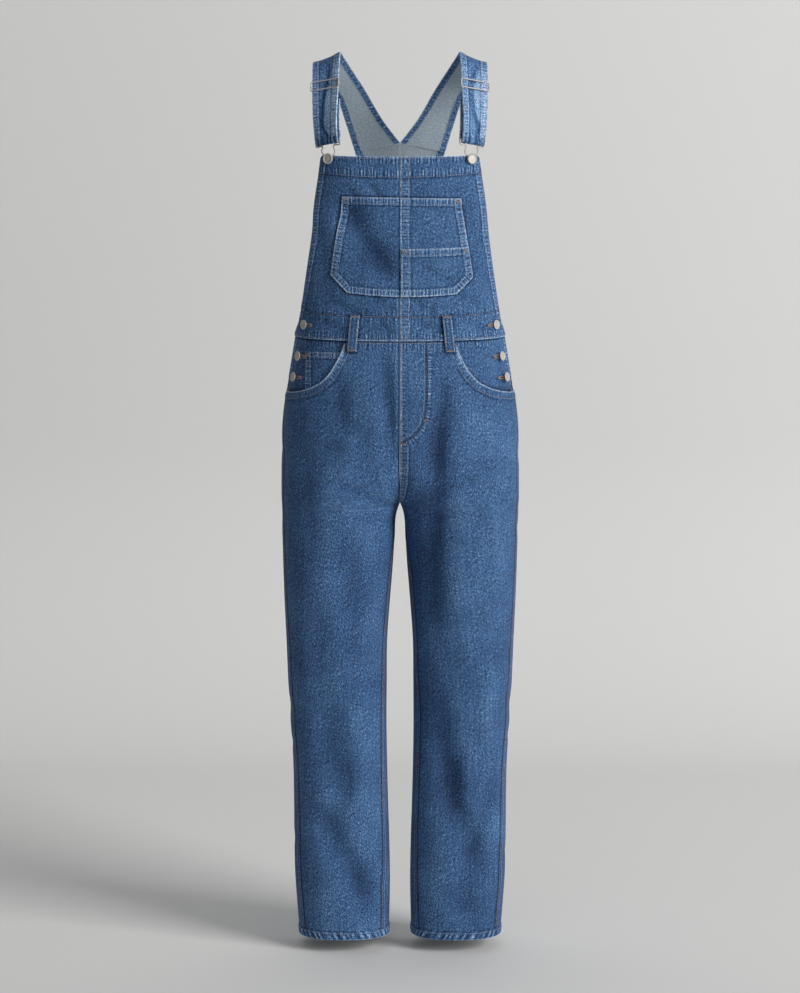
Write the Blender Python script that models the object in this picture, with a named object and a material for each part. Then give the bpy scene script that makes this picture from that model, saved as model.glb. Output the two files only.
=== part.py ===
"""Denim dungarees, filled out as worn and hollow inside.

Metres, +Z up, the front faces -Y. The origin is where the shoulders carry the two straps.
The cloth follows one form: a torso that splits into two legs at the crotch.
"""

from math import cos, pi, sin

import bmesh
import bpy
import numpy as np

# Heights down from the shoulders
BIB_TOP = -0.1576
WAIST_SEAM = -0.4430
CROTCH = -0.7070
HEM = -1.4110
LEGS_PART = -0.5300  # the form starts to part into two legs here
BLEND_END = -0.5700  # below this the rows of a leg are level

# Cloth
SEAM_GAP = 0.0003
LAY_GAP = 0.0006  # under a piece that lies on a panel
WALL = 0.0016
POCKET_WALL = 0.0012
LOOP_WALL = 0.0018
STRAP_WALL = 0.0020
WAIST_RISE = 0.0025  # the waist seam and the bib top are a little higher at the sides

# The form: height, half width, front, back, and the depth at which it is widest
FORM = (
    (-0.130, 0.1480, -0.0800, 0.0900, 0.000),
    (-0.180, 0.1510, -0.0830, 0.0930, 0.000),
    (-0.230, 0.1535, -0.0860, 0.0970, 0.000),
    (-0.290, 0.1560, -0.0880, 0.0990, 0.000),
    (-0.350, 0.1590, -0.0890, 0.0980, 0.000),
    (-0.404, 0.1615, -0.0900, 0.0970, 0.000),
    (-0.440, 0.1655, -0.0910, 0.0990, 0.000),
    (-0.480, 0.1720, -0.0935, 0.1080, 0.001),
    (-0.528, 0.1800, -0.0970, 0.1200, 0.004),
    (-0.576, 0.1862, -0.1000, 0.1290, 0.008),
    (-0.620, 0.1885, -0.1010, 0.1315, 0.010),
    (-0.672, 0.1893, -0.0995, 0.1290, 0.011),
    (-0.707, 0.1893, -0.0970, 0.1230, 0.012),
    (-0.769, 0.1880, -0.0925, 0.1120, 0.010),
    (-0.866, 0.1852, -0.0860, 0.0990, 0.007),
    (-0.931, 0.1823, -0.0810, 0.0920, 0.006),
    (-0.996, 0.1800, -0.0760, 0.0880, 0.006),
    (-1.062, 0.1765, -0.0720, 0.0850, 0.006),
    (-1.128, 0.1725, -0.0685, 0.0820, 0.006),
    (-1.194, 0.1715, -0.0650, 0.0800, 0.007),
    (-1.260, 0.1713, -0.0620, 0.0780, 0.008),
    (-1.326, 0.1696, -0.0590, 0.0760, 0.008),
    (-1.360, 0.1672, -0.0575, 0.0750, 0.008),
    (-1.411, 0.1635, -0.0560, 0.0730, 0.008),
)
ROUNDNESS = 2.4  # power of the section: 2 is an ellipse

# Inner side of a leg: height and distance from the middle
INSEAM = (
    (-0.707, 0.0000),
    (-0.712, 0.0022),
    (-0.720, 0.0050),
    (-0.769, 0.0088),
    (-0.801, 0.0108),
    (-0.866, 0.0160),
    (-0.931, 0.0205),
    (-0.996, 0.0212),
    (-1.062, 0.0216),
    (-1.128, 0.0208),
    (-1.194, 0.0192),
    (-1.260, 0.0172),
    (-1.326, 0.0162),
    (-1.411, 0.0180),
)

# Side edge of the bib, and of the back panel below the straps: height, distance from the middle
BIB_EDGE = (
    (-0.155, 0.1226),
    (-0.180, 0.1260),
    (-0.227, 0.1333),
    (-0.290, 0.1398),
    (-0.353, 0.1487),
    (-0.385, 0.1536),
    (-0.404, 0.1570),
    (-0.4165, 0.1592),
    (-0.430, 0.1640),
    (-0.443, 0.1660),
)
BACK_EDGE = (
    (-0.1537, 0.0721),
    (-0.180, 0.0645),
    (-0.210, 0.0605),
    (-0.240, 0.0630),
    (-0.275, 0.0730),
    (-0.310, 0.0890),
    (-0.345, 0.1090),
    (-0.380, 0.1310),
    (-0.405, 0.1470),
    (-0.425, 0.1590),
    (-0.443, 0.1660),
)
BACK_PEAK = -0.1394  # the middle of the back panel's top edge, where the straps meet
BACK_CORNER = -0.1537

# Hip pocket opening of a front leg: distance from the middle, height
OPENING = (
    (0.0849, -0.4433),
    (0.0920, -0.4620),
    (0.0982, -0.4744),
    (0.1085, -0.4920),
    (0.1203, -0.5056),
    (0.1370, -0.5165),
    (0.1559, -0.5234),
    (0.1700, -0.5268),
    (0.1795, -0.5280),
)
FACING_UNDER = 0.014  # how far the hip facing reaches in under the opening
FACING_DEPTH = 0.0040  # how far it lies below the leg's face there

# Bib pocket, seen from the front: height, its -X edge, its +X edge
POCKET = (
    (-0.2205, -0.0896, 0.0943),
    (-0.3423, -0.1085, 0.1132),
    (-0.3683, -0.0821, 0.0883),
)
POCKET_LEAN = 0.017  # it hangs a little lower towards +X
POCKET_SAG = 0.0055
SMALL_POCKET_TOP = -0.2965
SMALL_POCKET_START = 0.0015

# Belt loops: side, x and height of the upper end, x and height of the lower end
LOOPS = (
    ("right", -0.0696, -0.4020, -0.0748, -0.4600),
    ("left", 0.0723, -0.4025, 0.0783, -0.4615),
)
LOOP_WIDTH = 0.0138
LOOP_ARCH = 0.0012

# Coin pocket on the wearer's right facing
COIN_OUTER = 0.1500
COIN_INNER = 0.0915
COIN_TOP = -0.4617

# Largest folds of the front legs: x, height of the start and end, half width, depth
FOLDS = (
    (0.052, -0.560, 0.050, -0.900, 0.022, 0.0050),
    (0.046, -1.020, 0.126, -1.290, 0.020, 0.0050),
    (-0.128, -0.860, -0.122, -1.130, 0.022, 0.0030),
    (-0.140, -1.235, -0.050, -1.350, 0.014, 0.0040),
)

SEAM_FADE = 0.15  # share of a leg's half round in which a fold dies out towards a seam

# Strap, from the hook's bar over the shoulder: inner edge x, y, z and outer edge x, y, z
STRAP = (
    (0.0967, -0.0735, -0.1305, 0.1308, -0.0470, -0.1375),
    (0.0978, -0.0650, -0.0980, 0.1345, -0.0400, -0.1030),
    (0.0960, -0.0480, -0.0560, 0.1364, -0.0290, -0.0620),
    (0.0945, -0.0290, -0.0190, 0.1366, -0.0160, -0.0310),
    (0.0933, -0.0120, -0.0015, 0.1362, -0.0060, -0.0175),
    (0.0925, 0.0060, 0.0025, 0.1350, 0.0090, -0.0150),
    (0.0860, 0.0300, -0.0080, 0.1290, 0.0330, -0.0270),
    (0.0715, 0.0560, -0.0305, 0.1150, 0.0570, -0.0480),
    (0.0540, 0.0745, -0.0580, 0.0985, 0.0740, -0.0730),
    (0.0290, 0.0870, -0.1010, 0.0850, 0.0840, -0.1130),
)
STRAP_BEND = 0.0027  # radius of the strap's turn round the hook's bar
STRAP_DISH = 0.0015  # the strap is a little hollow along its middle
RETURN_TOP = 1.75  # station at which the turned-back layer ends, behind the slider
SLIDER_AT = 2.30  # station of the slider

# Wire hook, half of it: across and down from the middle of its bar
HOOK = (
    (0.0000, 0.0000),
    (0.0215, 0.0000),
    (0.0231, -0.0007),
    (0.0238, -0.0022),
    (0.0238, -0.0046),
    (0.0231, -0.0061),
    (0.0215, -0.0068),
    (0.0125, -0.0068),
    (0.0106, -0.0078),
    (0.0106, -0.0102),
    (0.0119, -0.0138),
    (0.0112, -0.0178),
    (0.0082, -0.0212),
    (0.0052, -0.0244),
    (0.0042, -0.0280),
    (0.0030, -0.0310),
    (0.0000, -0.0323),
)
HOOK_WIRE = 0.0011
HOOK_REACH = 0.0270  # from the bar's middle down to the button
HOOK_LIFT = 0.0018  # height of the wire's middle over the bib

# Wire slider
SLIDER_HALF_WIDTH = 0.0240
SLIDER_HALF_HEIGHT = 0.0070
SLIDER_CORNER = 0.0022
SLIDER_WIRE = 0.0010
BAR_DROP = 0.0045  # the middle bar lies behind the strap's front layer

# Turned buttons: radius and height over the cloth
BIB_BUTTON = (
    (0.0024, 0.0000),
    (0.0024, 0.0033),
    (0.0074, 0.0033),
    (0.0084, 0.0040),
    (0.0084, 0.0048),
    (0.0077, 0.0055),
    (0.0064, 0.0053),
    (0.0060, 0.0049),
)
SIDE_BUTTON = (
    (0.0022, 0.0000),
    (0.0022, 0.0011),
    (0.0066, 0.0011),
    (0.0075, 0.0017),
    (0.0075, 0.0023),
    (0.0068, 0.0029),
    (0.0056, 0.0028),
    (0.0052, 0.0025),
)
BIB_BUTTON_AT = (0.1100, -0.1609)
SIDE_BUTTONS_AT = (("waist", 0.1497, -0.4206), ("upper", 0.1594, -0.4703), ("lower", 0.1667, -0.5035))

# Mesh
SAMPLES = 120
LEG_ROWS_ABOVE = 6
LEG_ROWS_BELOW = 16
CROTCH_STEPS = (0.030, 0.014, 0.005, 0.0015)
WIRE_SIDES = 6
TURNS = 14

SIDES = (("right", -1.0), ("left", 1.0))


def clear_scene():
    for thing in list(bpy.data.objects):
        bpy.data.objects.remove(thing, do_unlink=True)


def material(name, colour, roughness, metallic):
    made = bpy.data.materials.new(name)
    made.use_nodes = True
    shader = made.node_tree.nodes["Principled BSDF"]
    shader.inputs["Base Color"].default_value = (*colour, 1.0)
    shader.inputs["Roughness"].default_value = roughness
    shader.inputs["Metallic"].default_value = metallic
    return made


def curve_value(table, column, at):
    """A smooth curve through one column of a table, read at the values of its first column."""
    rows = np.array(table)
    rows = rows[np.argsort(rows[:, 0])]
    known, values = rows[:, 0], rows[:, column]
    slopes = np.gradient(values, known)
    at = np.clip(at, known[0], known[-1])
    left = np.clip(np.searchsorted(known, at, side="right") - 1, 0, len(known) - 2)
    span = known[left + 1] - known[left]
    part = (at - known[left]) / span
    rest = 1 - part
    return (
        values[left] * (1 + 2 * part) * rest**2
        + slopes[left] * span * part * rest**2
        + values[left + 1] * part**2 * (3 - 2 * part)
        - slopes[left + 1] * span * part**2 * rest
    )


def smooth(part):
    part = np.clip(part, 0.0, 1.0)
    return part * part * (3 - 2 * part)


def form(height):
    """Half width, inner reach, middle x, front depth, back depth and middle y of a half section."""
    side = curve_value(FORM, 1, height)
    middle_y = curve_value(FORM, 4, height)
    front = middle_y - curve_value(FORM, 2, height)
    back = curve_value(FORM, 3, height) - middle_y
    inner = np.where(height < CROTCH, curve_value(INSEAM, 1, height), 0.0)
    parted = np.clip((LEGS_PART - height) / (LEGS_PART - CROTCH), 1e-6, 1.0)
    middle_x = (side + inner) / 2 * smooth(parted)
    reach = np.where(height < CROTCH, middle_x - inner, middle_x / parted**1.5)
    return side - middle_x, np.maximum(reach, 1e-9), middle_x, front, back, middle_y


def half_section(height, back):
    """Points of half a section at each height, from the middle or the inseam round to the side."""
    outer, reach, middle_x, front_depth, back_depth, middle_y = (v[..., None] for v in form(height))
    cut = np.clip(middle_x / reach, 0.0, 1.0) ** (ROUNDNESS / 2)
    angle = np.linspace(1.0, 0.0, SAMPLES) * np.arccos(-cut)
    across = np.abs(np.cos(angle)) ** (2 / ROUNDNESS)
    along = np.abs(np.sin(angle)) ** (2 / ROUNDNESS)
    x = middle_x + np.where(np.cos(angle) > 0, outer, -reach) * across
    y = middle_y + (back_depth if back else -front_depth) * along
    inseam = SEAM_GAP / 2
    return inseam + x * (1 - inseam / 0.19), y


def section_point(height, share, back=False):
    """The form's point at a share of the way from the middle (0) to the side seam (1)."""
    height, share = np.broadcast_arrays(np.asarray(height, float), np.asarray(share, float))
    x, y = half_section(height, back)
    steps = np.hypot(np.diff(x, axis=-1), np.diff(y, axis=-1))
    length = np.concatenate([np.zeros(steps.shape[:-1] + (1,)), np.cumsum(steps, axis=-1)], axis=-1)
    wanted = share * length[..., -1]
    left = np.clip((length <= wanted[..., None]).sum(-1) - 1, 0, SAMPLES - 2)[..., None]
    start = np.take_along_axis(length, left, -1)
    part = (wanted[..., None] - start) / np.maximum(np.take_along_axis(length, left + 1, -1) - start, 1e-12)

    def between(values):
        low = np.take_along_axis(values, left, -1)
        return (low + part * (np.take_along_axis(values, left + 1, -1) - low))[..., 0]

    return np.stack([between(x), between(y), height], axis=-1)


def section_length(height, back=False):
    x, y = half_section(np.asarray(height, float), back)
    return np.hypot(np.diff(x, axis=-1), np.diff(y, axis=-1)).sum(-1)


def share_at(height, x_wanted, back=False):
    """The share of the half section at which it is this far from the middle."""
    height, x_wanted = np.broadcast_arrays(np.asarray(height, float), np.asarray(x_wanted, float))
    x, y = half_section(height, back)
    steps = np.hypot(np.diff(x, axis=-1), np.diff(y, axis=-1))
    length = np.concatenate([np.zeros(steps.shape[:-1] + (1,)), np.cumsum(steps, axis=-1)], axis=-1)
    right = np.clip((x < x_wanted[..., None]).sum(-1), 1, SAMPLES - 1)[..., None]
    low_x, high_x = np.take_along_axis(x, right - 1, -1), np.take_along_axis(x, right, -1)
    part = np.clip((x_wanted[..., None] - low_x) / np.maximum(high_x - low_x, 1e-12), 0, 1)
    low = np.take_along_axis(length, right - 1, -1)
    reached = low + part * (np.take_along_axis(length, right, -1) - low)
    return (reached / length[..., -1:])[..., 0]


def face_point(x, height, back=False):
    """A point of the form at a signed distance from the middle."""
    point = section_point(height, share_at(height, np.abs(x), back), back)
    point[..., 0] = x
    return point


def fold_depth(point):
    """How far the largest folds push a point in: a soft trough along each fold's line."""
    depth = np.zeros(point.shape[:-1])
    for x_start, z_start, x_end, z_end, half_width, deep in FOLDS:
        run = np.array([x_end - x_start, z_end - z_start])
        length = np.hypot(*run)
        offset = np.stack([point[..., 0] - x_start, point[..., 2] - z_start], -1)
        along = offset @ run / length**2
        away = (offset[..., 0] * run[1] - offset[..., 1] * run[0]) / length
        ends = smooth(along / 0.25 + 0.5) * smooth((1 - along) / 0.25 + 0.5)
        depth += deep * ends * np.exp(-((away / half_width) ** 2))
    return depth


def normals_of(sheet):
    across = np.gradient(sheet, axis=1)
    down = np.gradient(sheet, axis=0)
    normal = np.cross(across, down)
    return normal / np.maximum(np.linalg.norm(normal, axis=-1, keepdims=True), 1e-12)


def outward(sheet):
    """Unit normals of a grid of points, turned away from the garment's middle line."""
    normal = normals_of(sheet)
    middle = np.zeros_like(sheet)
    middle[..., 0] = np.where(sheet[..., 2] < CROTCH, np.sign(sheet[..., 0]) * 0.095, 0.0)
    middle[..., 2] = sheet[..., 2]
    facing = np.sign((normal * (sheet - middle)).sum())
    return normal * facing


def put_object(name, points, faces, paint):
    mesh = bpy.data.meshes.new(name)
    mesh.from_pydata([tuple(p) for p in points], [], faces)
    solid = bmesh.new()
    solid.from_mesh(mesh)
    bmesh.ops.recalc_face_normals(solid, faces=solid.faces)
    if solid.calc_volume(signed=True) < 0:
        bmesh.ops.reverse_faces(solid, faces=solid.faces)
    solid.to_mesh(mesh)
    solid.free()
    mesh.shade_smooth()
    mesh.set_sharp_from_angle(angle=0.7)
    mesh.materials.append(paint)
    made = bpy.data.objects.new(name, mesh)
    bpy.context.scene.collection.objects.link(made)
    return made


def cloth(name, face, normal, wall, paint):
    """A closed wall: a grid of points on its face, the same grid a wall's thickness in, and its edges."""
    rows, columns = face.shape[:2]
    points = np.concatenate([face.reshape(-1, 3), (face - normal * wall).reshape(-1, 3)])
    index = np.arange(rows * columns).reshape(rows, columns)
    faces = []
    for r in range(rows - 1):
        for c in range(columns - 1):
            quad = (index[r, c], index[r, c + 1], index[r + 1, c + 1], index[r + 1, c])
            faces.append(quad)
            faces.append(tuple(q + rows * columns for q in reversed(quad)))
    border = [*index[0, :], *index[1:, -1], *index[-1, -2::-1], *index[-2:0:-1, 0]]
    for a, b in zip(border, border[1:] + border[:1]):
        faces.append((b, a, a + rows * columns, b + rows * columns))
    return put_object(name, points, faces, paint)


def mirrored(face, sign):
    return face * np.array([sign, 1.0, 1.0])


def waist_height(share):
    return WAIST_SEAM + WAIST_RISE * share**2


def panel_shares(height, low, high, columns, back=False):
    """Shares of a row of a panel, half a seam gap inside its two edges."""
    gap = SEAM_GAP / 2 / section_length(height, back)
    return low + gap + (high - low - 2 * gap) * columns


def bib_front(side, sign, paint):
    down, across = np.meshgrid(np.linspace(0, 1, 10), np.linspace(0, 1, 9), indexing="ij")
    top = BIB_TOP + WAIST_RISE * across**2
    height = top + (waist_height(across) + SEAM_GAP / 2 - top) * down
    edge = share_at(height, curve_value(BIB_EDGE, 1, height))
    face = section_point(height, panel_shares(height, 0.0, edge, across))
    face = mirrored(face, sign)
    cloth("bib_front_" + side, face, outward(face), WALL, paint)


def back_bib(side, sign, paint):
    down, across = np.meshgrid(np.linspace(0, 1, 12), np.linspace(0, 1, 8), indexing="ij")
    top = BACK_PEAK + (BACK_CORNER - BACK_PEAK) * across
    height = top + (waist_height(across) + SEAM_GAP / 2 - top) * down
    edge = share_at(height, curve_value(BACK_EDGE, 1, height), True)
    face = section_point(height, panel_shares(height, 0.0, edge, across, True), True)
    face = mirrored(face, sign)
    cloth("back_bib_" + side, face, outward(face), WALL, paint)


def pocket_grid(rows, columns, start, end, top):
    """Points of a patch that keeps inside the bib pocket's outline, from one x share to another."""
    outline = np.array(POCKET)[::-1]
    bottom = POCKET[-1][0]
    clip_at = POCKET[1][0]
    level = np.concatenate([np.linspace(top, clip_at, rows - 3), np.linspace(clip_at, bottom, 4)[1:]])
    low = np.interp(level, outline[:, 0], outline[:, 1])[:, None]
    high = np.interp(level, outline[:, 0], outline[:, 2])[:, None]
    low = np.maximum(low, start)
    high = np.minimum(high, high * end)
    x = low + (high - low) * np.linspace(0, 1, columns)
    near_bottom = smooth((top - level) / (top - bottom))[:, None]
    sag = POCKET_SAG * near_bottom * (1 - np.clip(x / POCKET[-1][2], -1, 1) ** 2)
    return face_point(x, level[:, None] - POCKET_LEAN * x - sag)


def bib_pockets(paint):
    face = pocket_grid(8, 13, -1.0, 1.0, POCKET[0][0])
    normal = outward(face)
    face = face + normal * (LAY_GAP + POCKET_WALL)
    cloth("bib_pocket", face, normal, POCKET_WALL, paint)
    face = pocket_grid(7, 8, SMALL_POCKET_START, 0.994, SMALL_POCKET_TOP)
    normal = outward(face)
    face = face + normal * 2 * (LAY_GAP + POCKET_WALL)
    cloth("bib_pocket_small", face, normal, POCKET_WALL, paint)


def opening_height(share):
    """Height of the upper edge of a front leg: the waist seam, then the hip pocket's opening."""
    table = [(float(share_at(z, x)), z) for x, z in OPENING[:-1]]
    table.append((1.0, OPENING[-1][1]))
    start = table[0][0]
    return np.where(share <= start, waist_height(share), curve_value(table, 1, share))


def opening_start():
    return float(share_at(OPENING[0][1], OPENING[0][0]))


def leg_rows():
    above = np.linspace(BLEND_END, CROTCH + CROTCH_STEPS[0], 5)[:-1]
    crotch = CROTCH + np.array(CROTCH_STEPS + (0.0,))
    below = np.linspace(CROTCH, HEM, LEG_ROWS_BELOW + 1)[1:]
    return np.concatenate([above, crotch, below])


def leg_grid(top_height, columns, back):
    """A leg panel's points: rows that start along its upper edge and are level further down."""
    upper = np.linspace(0, 1, LEG_ROWS_ABOVE)[:-1, None]
    starting = top_height + (BLEND_END - top_height) * upper
    level = np.broadcast_to(leg_rows()[:, None], (len(leg_rows()), len(columns)))
    height = np.concatenate([starting, level])
    return section_point(height, panel_shares(height, 0.0, 1.0, columns, back), back)


def square_edges(face, normal):
    """Turns the wall's edges along the side seam and the inseam square to the seam."""
    normal = normal.copy()
    normal[:, -1, 1] = 0.0
    normal[face[:, 0, 2] < CROTCH + 1e-6, 0, 1] = 0.0
    return normal / np.linalg.norm(normal, axis=-1, keepdims=True)


def leg_front(side, sign, paint):
    start = opening_start()
    columns = np.concatenate([np.linspace(0, start, 5), np.linspace(start, 1, 8)[1:]])
    top = opening_height(columns) - SEAM_GAP / 2
    face = mirrored(leg_grid(top, columns, False), sign)
    normal = square_edges(face, outward(face))
    off_seams = smooth(columns / SEAM_FADE) * smooth((1 - columns) / SEAM_FADE)
    face = face - normal * (fold_depth(face) * off_seams)[..., None]
    cloth("leg_front_" + side, face, normal, WALL, paint)


def leg_back(side, sign, paint):
    columns = np.linspace(0, 1, 11)
    face = mirrored(leg_grid(waist_height(columns) - SEAM_GAP / 2, columns, True), sign)
    cloth("leg_back_" + side, face, square_edges(face, outward(face)), WALL, paint)


def facing_face(share, height):
    """Points of the hip facing: level with the form at the side, sunk where the leg front covers it."""
    face = section_point(height, share)
    over_edge = smooth((height - opening_height(share) - 0.004) / 0.020)
    at_side = 1 - smooth((1 - share) / 0.14)
    return face, FACING_DEPTH * (1 - over_edge * at_side)


def hip_facing(side, sign, paint):
    down, across = np.meshgrid(np.linspace(0, 1, 7), np.linspace(0, 1, 8), indexing="ij")
    start = opening_start() - FACING_UNDER / float(section_length(WAIST_SEAM))
    share = start + (1 - start) * across
    top = waist_height(share) - SEAM_GAP / 2
    height = top + (np.minimum(opening_height(share), top) - FACING_UNDER - top) * down
    share = panel_shares(height, start, 1.0, across)
    face, depth = facing_face(share, height)
    face = mirrored(face, sign)
    normal = outward(face)
    cloth("hip_facing_" + side, face - normal * depth[..., None], normal, POCKET_WALL, paint)


def coin_pocket(paint):
    down, across = np.meshgrid(np.linspace(0, 1, 6), np.linspace(0, 1, 7), indexing="ij")
    x = COIN_INNER + (COIN_OUTER - COIN_INNER) * across
    limit = opening_height(share_at(-0.49, x))
    bottom = np.minimum(limit - 0.007, COIN_TOP - 0.009)
    height = COIN_TOP + (bottom - COIN_TOP) * down
    face, depth = facing_face(share_at(height, x), height)
    face = mirrored(face, -1.0)
    normal = outward(face)
    lift = LAY_GAP + 0.0010
    cloth("coin_pocket", face + normal * (lift - depth)[..., None], normal, 0.0010, paint)


def belt_loop(side, x_top, z_top, x_bottom, z_bottom, paint):
    down, across = np.meshgrid(np.linspace(0, 1, 9), np.linspace(-0.5, 0.5, 3), indexing="ij")
    x = x_top + (x_bottom - x_top) * down + LOOP_WIDTH * across
    face = face_point(x, z_top + (z_bottom - z_top) * down)
    normal = outward(face)
    arch = LAY_GAP + LOOP_WALL + LOOP_ARCH * np.sin(pi * down)
    cloth("belt_loop_" + side, face + normal * arch[..., None], normal, LOOP_WALL, paint)


def strap_edges(station):
    """Inner and outer edge points of a strap at each station along it, on the +X side."""
    last = [face_point(np.array(x), np.array(z), True) for x, z in ((SEAM_GAP / 2, BACK_PEAK), (0.0721, BACK_CORNER))]
    middle_wall = np.array([0.0, -WALL / 2, SEAM_GAP])
    rows = [*STRAP, tuple(np.concatenate([last[0] + middle_wall, last[1] + middle_wall]))]
    table = [(float(i), *row) for i, row in enumerate(rows)]
    values = np.stack([curve_value(table, column, station) for column in range(1, 7)], axis=-1)
    return values[..., :3], values[..., 3:]


def strap_sheet(station, columns):
    inner, outer = strap_edges(station)
    across = np.linspace(0, 1, columns)[None, :, None]
    return inner[:, None] + (outer - inner)[:, None] * across


def strap(side, sign, paint):
    """One folded strip: the layer turned back up behind, the turn round the bar, and the long layer."""
    columns = 5
    long_station = np.linspace(0, len(STRAP), 21)
    long_sheet = strap_sheet(long_station, columns)
    long_normal = normals_of(long_sheet)
    dish = STRAP_DISH * (1 - np.linspace(-1, 1, columns) ** 2)[None, :] * smooth(long_station / 0.8)[:, None]
    dish = dish * smooth((len(STRAP) - long_station) / 2)[:, None]
    short_station = np.linspace(RETURN_TOP, 0, 6)
    short_sheet = strap_sheet(short_station, columns)
    short_normal = normals_of(short_sheet[::-1])[::-1]
    bar_normal = long_normal[0]
    bar_axis = long_sheet[0] - bar_normal * STRAP_BEND
    run_down = long_sheet[0] - long_sheet[1]
    run_down /= np.linalg.norm(run_down, axis=-1, keepdims=True)
    behind = short_sheet - short_normal * 2 * STRAP_BEND
    turn = [
        bar_axis - STRAP_BEND * (cos(angle) * bar_normal - sin(angle) * run_down)
        for angle in np.linspace(0, pi, 7)[1:-1]
    ]
    face = np.concatenate([behind, np.array(turn), long_sheet - long_normal * dish[..., None]])
    face = mirrored(face, sign)
    normal = normals_of(face)
    normal = normal * np.sign(normal[8, 2, 2]) * -1.0
    cloth("strap_" + side, face + normal * STRAP_WALL / 2, normal, STRAP_WALL, paint)


def tube(path, radius, closed, plane_normal):
    """Points and faces of a round wire along a nearly flat path; plane_normal is across its plane."""
    count = len(path)
    if closed:
        tangent = np.roll(path, -1, 0) - np.roll(path, 1, 0)
    else:
        tangent = np.gradient(path, axis=0)
    tangent /= np.linalg.norm(tangent, axis=1, keepdims=True)
    aside = np.cross(tangent, plane_normal)
    aside /= np.linalg.norm(aside, axis=1, keepdims=True)
    up = np.cross(aside, tangent)
    points = []
    for side in range(WIRE_SIDES):
        angle = 2 * pi * side / WIRE_SIDES
        points.append(path + radius * (cos(angle) * aside + sin(angle) * up))
    points = np.stack(points, axis=1).reshape(-1, 3)
    faces = []
    for i in range(count if closed else count - 1):
        here, there = i * WIRE_SIDES, (i + 1) % count * WIRE_SIDES
        for side in range(WIRE_SIDES):
            turn = (side + 1) % WIRE_SIDES
            faces.append((here + side, here + turn, there + turn, there + side))
    if not closed:
        faces.append(tuple(range(WIRE_SIDES)))
        faces.append(tuple(reversed(range((count - 1) * WIRE_SIDES, count * WIRE_SIDES))))
    return points, faces


def unit(vector):
    return vector / np.linalg.norm(vector)


def surface_normal(x, z):
    """Unit normal of the front of the form at one point on the +X side."""
    step = 0.002
    grid = face_point(np.array([[x - step, x], [x - step, x]]) + step / 2, np.array([[z, z], [z - step, z - step]]))
    return outward(grid)[0, 0]


def hook(side, sign, paint):
    inner, outer = (edge[0] for edge in strap_edges(np.zeros(1)))
    sheet = strap_sheet(np.linspace(0, len(STRAP), 21), 5)
    bar_middle = (inner + outer) / 2 - normals_of(sheet)[0, 2] * STRAP_BEND
    x, z = BIB_BUTTON_AT
    bib_normal = surface_normal(x, z)
    button = face_point(np.array(x), np.array(z)) + bib_normal * HOOK_LIFT
    down = (button - bar_middle) / HOOK_REACH
    half = np.array(HOOK)
    outline = np.concatenate([half, (half * (-1, 1))[-2:0:-1]])
    along_bar = unit(outer - inner)
    along_bib = unit(np.cross((0.0, 0.0, 1.0), bib_normal))
    along_bib = along_bib * np.sign(along_bib[0])
    twist = smooth(-outline[:, 1:] / HOOK_REACH * 1.3)
    across = along_bar + (along_bib - along_bar) * twist
    path = bar_middle + outline[:, :1] * across - outline[:, 1:] * down
    points, faces = tube(path, HOOK_WIRE, True, unit(np.cross(along_bar, down)))
    put_object("hook_" + side, mirrored(points, sign), faces, paint)


def slider(side, sign, paint):
    """A flat frame of wire in front of the strap, joined to a middle bar that passes behind it."""
    inner, outer = (edge[0] for edge in strap_edges(np.array([SLIDER_AT])))
    above = strap_edges(np.array([SLIDER_AT + 0.1]))
    middle = (inner + outer) / 2
    across = unit(outer - inner)
    up = unit((above[0][0] + above[1][0]) / 2 - middle)
    out = unit(np.cross(across, up))
    out = out * -np.sign(out[1])
    up = np.cross(out, across) * np.sign(np.cross(out, across)[2])
    lift = STRAP_WALL / 2 + SEAM_GAP + SLIDER_WIRE
    corners = []
    for turn in range(4):
        centre_x = (SLIDER_HALF_WIDTH - SLIDER_CORNER) * (1 if turn in (0, 3) else -1)
        centre_y = (SLIDER_HALF_HEIGHT - SLIDER_CORNER) * (1 if turn < 2 else -1)
        for step in range(4):
            angle = pi / 2 * (turn + step / 3)
            corners.append((centre_x + SLIDER_CORNER * cos(angle), centre_y + SLIDER_CORNER * sin(angle)))
    outline = np.array(corners)
    frame = middle + outline[:, :1] * across + outline[:, 1:] * up + out * lift
    points, faces = tube(frame, SLIDER_WIRE, True, out)
    made = put_object("slider_" + side, mirrored(points, sign), faces, paint)
    side_x = SLIDER_HALF_WIDTH
    bar = ((-side_x, lift), (-side_x, -BAR_DROP / 2), (-side_x + 0.0012, -BAR_DROP))
    bar = np.array([*bar, *((-x, z) for x, z in reversed(bar))])
    path = middle + bar[:, :1] * across + bar[:, 1:] * out
    points, faces = tube(path, SLIDER_WIRE * 0.9, False, up)
    middle_bar = put_object("slider_bar_" + side, mirrored(points, sign), faces, paint)
    middle_bar.hide_render = True
    middle_bar.display_type = "WIRE"
    join = made.modifiers.new("join", "BOOLEAN")
    join.operation = "UNION"
    join.object = middle_bar


def turned_button(name, profile, x, z, sign, lift, paint):
    """A button turned about the form's normal at a point of the front."""
    axis = surface_normal(x, z)
    foot = face_point(np.array(x), np.array(z)) + axis * lift
    aside = unit(np.cross(axis, (0.0, 0.0, 1.0)))
    up = np.cross(aside, axis)
    rings = []
    for radius, height in profile:
        for turn in range(TURNS):
            angle = 2 * pi * turn / TURNS
            rings.append(foot + radius * (cos(angle) * aside + sin(angle) * up) + height * axis)
    faces = []
    for ring in range(len(profile) - 1):
        for turn in range(TURNS):
            a, b = ring * TURNS + turn, ring * TURNS + (turn + 1) % TURNS
            faces.append((a, b, b + TURNS, a + TURNS))
    faces.append(tuple(reversed(range(TURNS))))
    faces.append(tuple(range((len(profile) - 1) * TURNS, len(profile) * TURNS)))
    put_object(name, mirrored(np.array(rings), sign), faces, paint)


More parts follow.
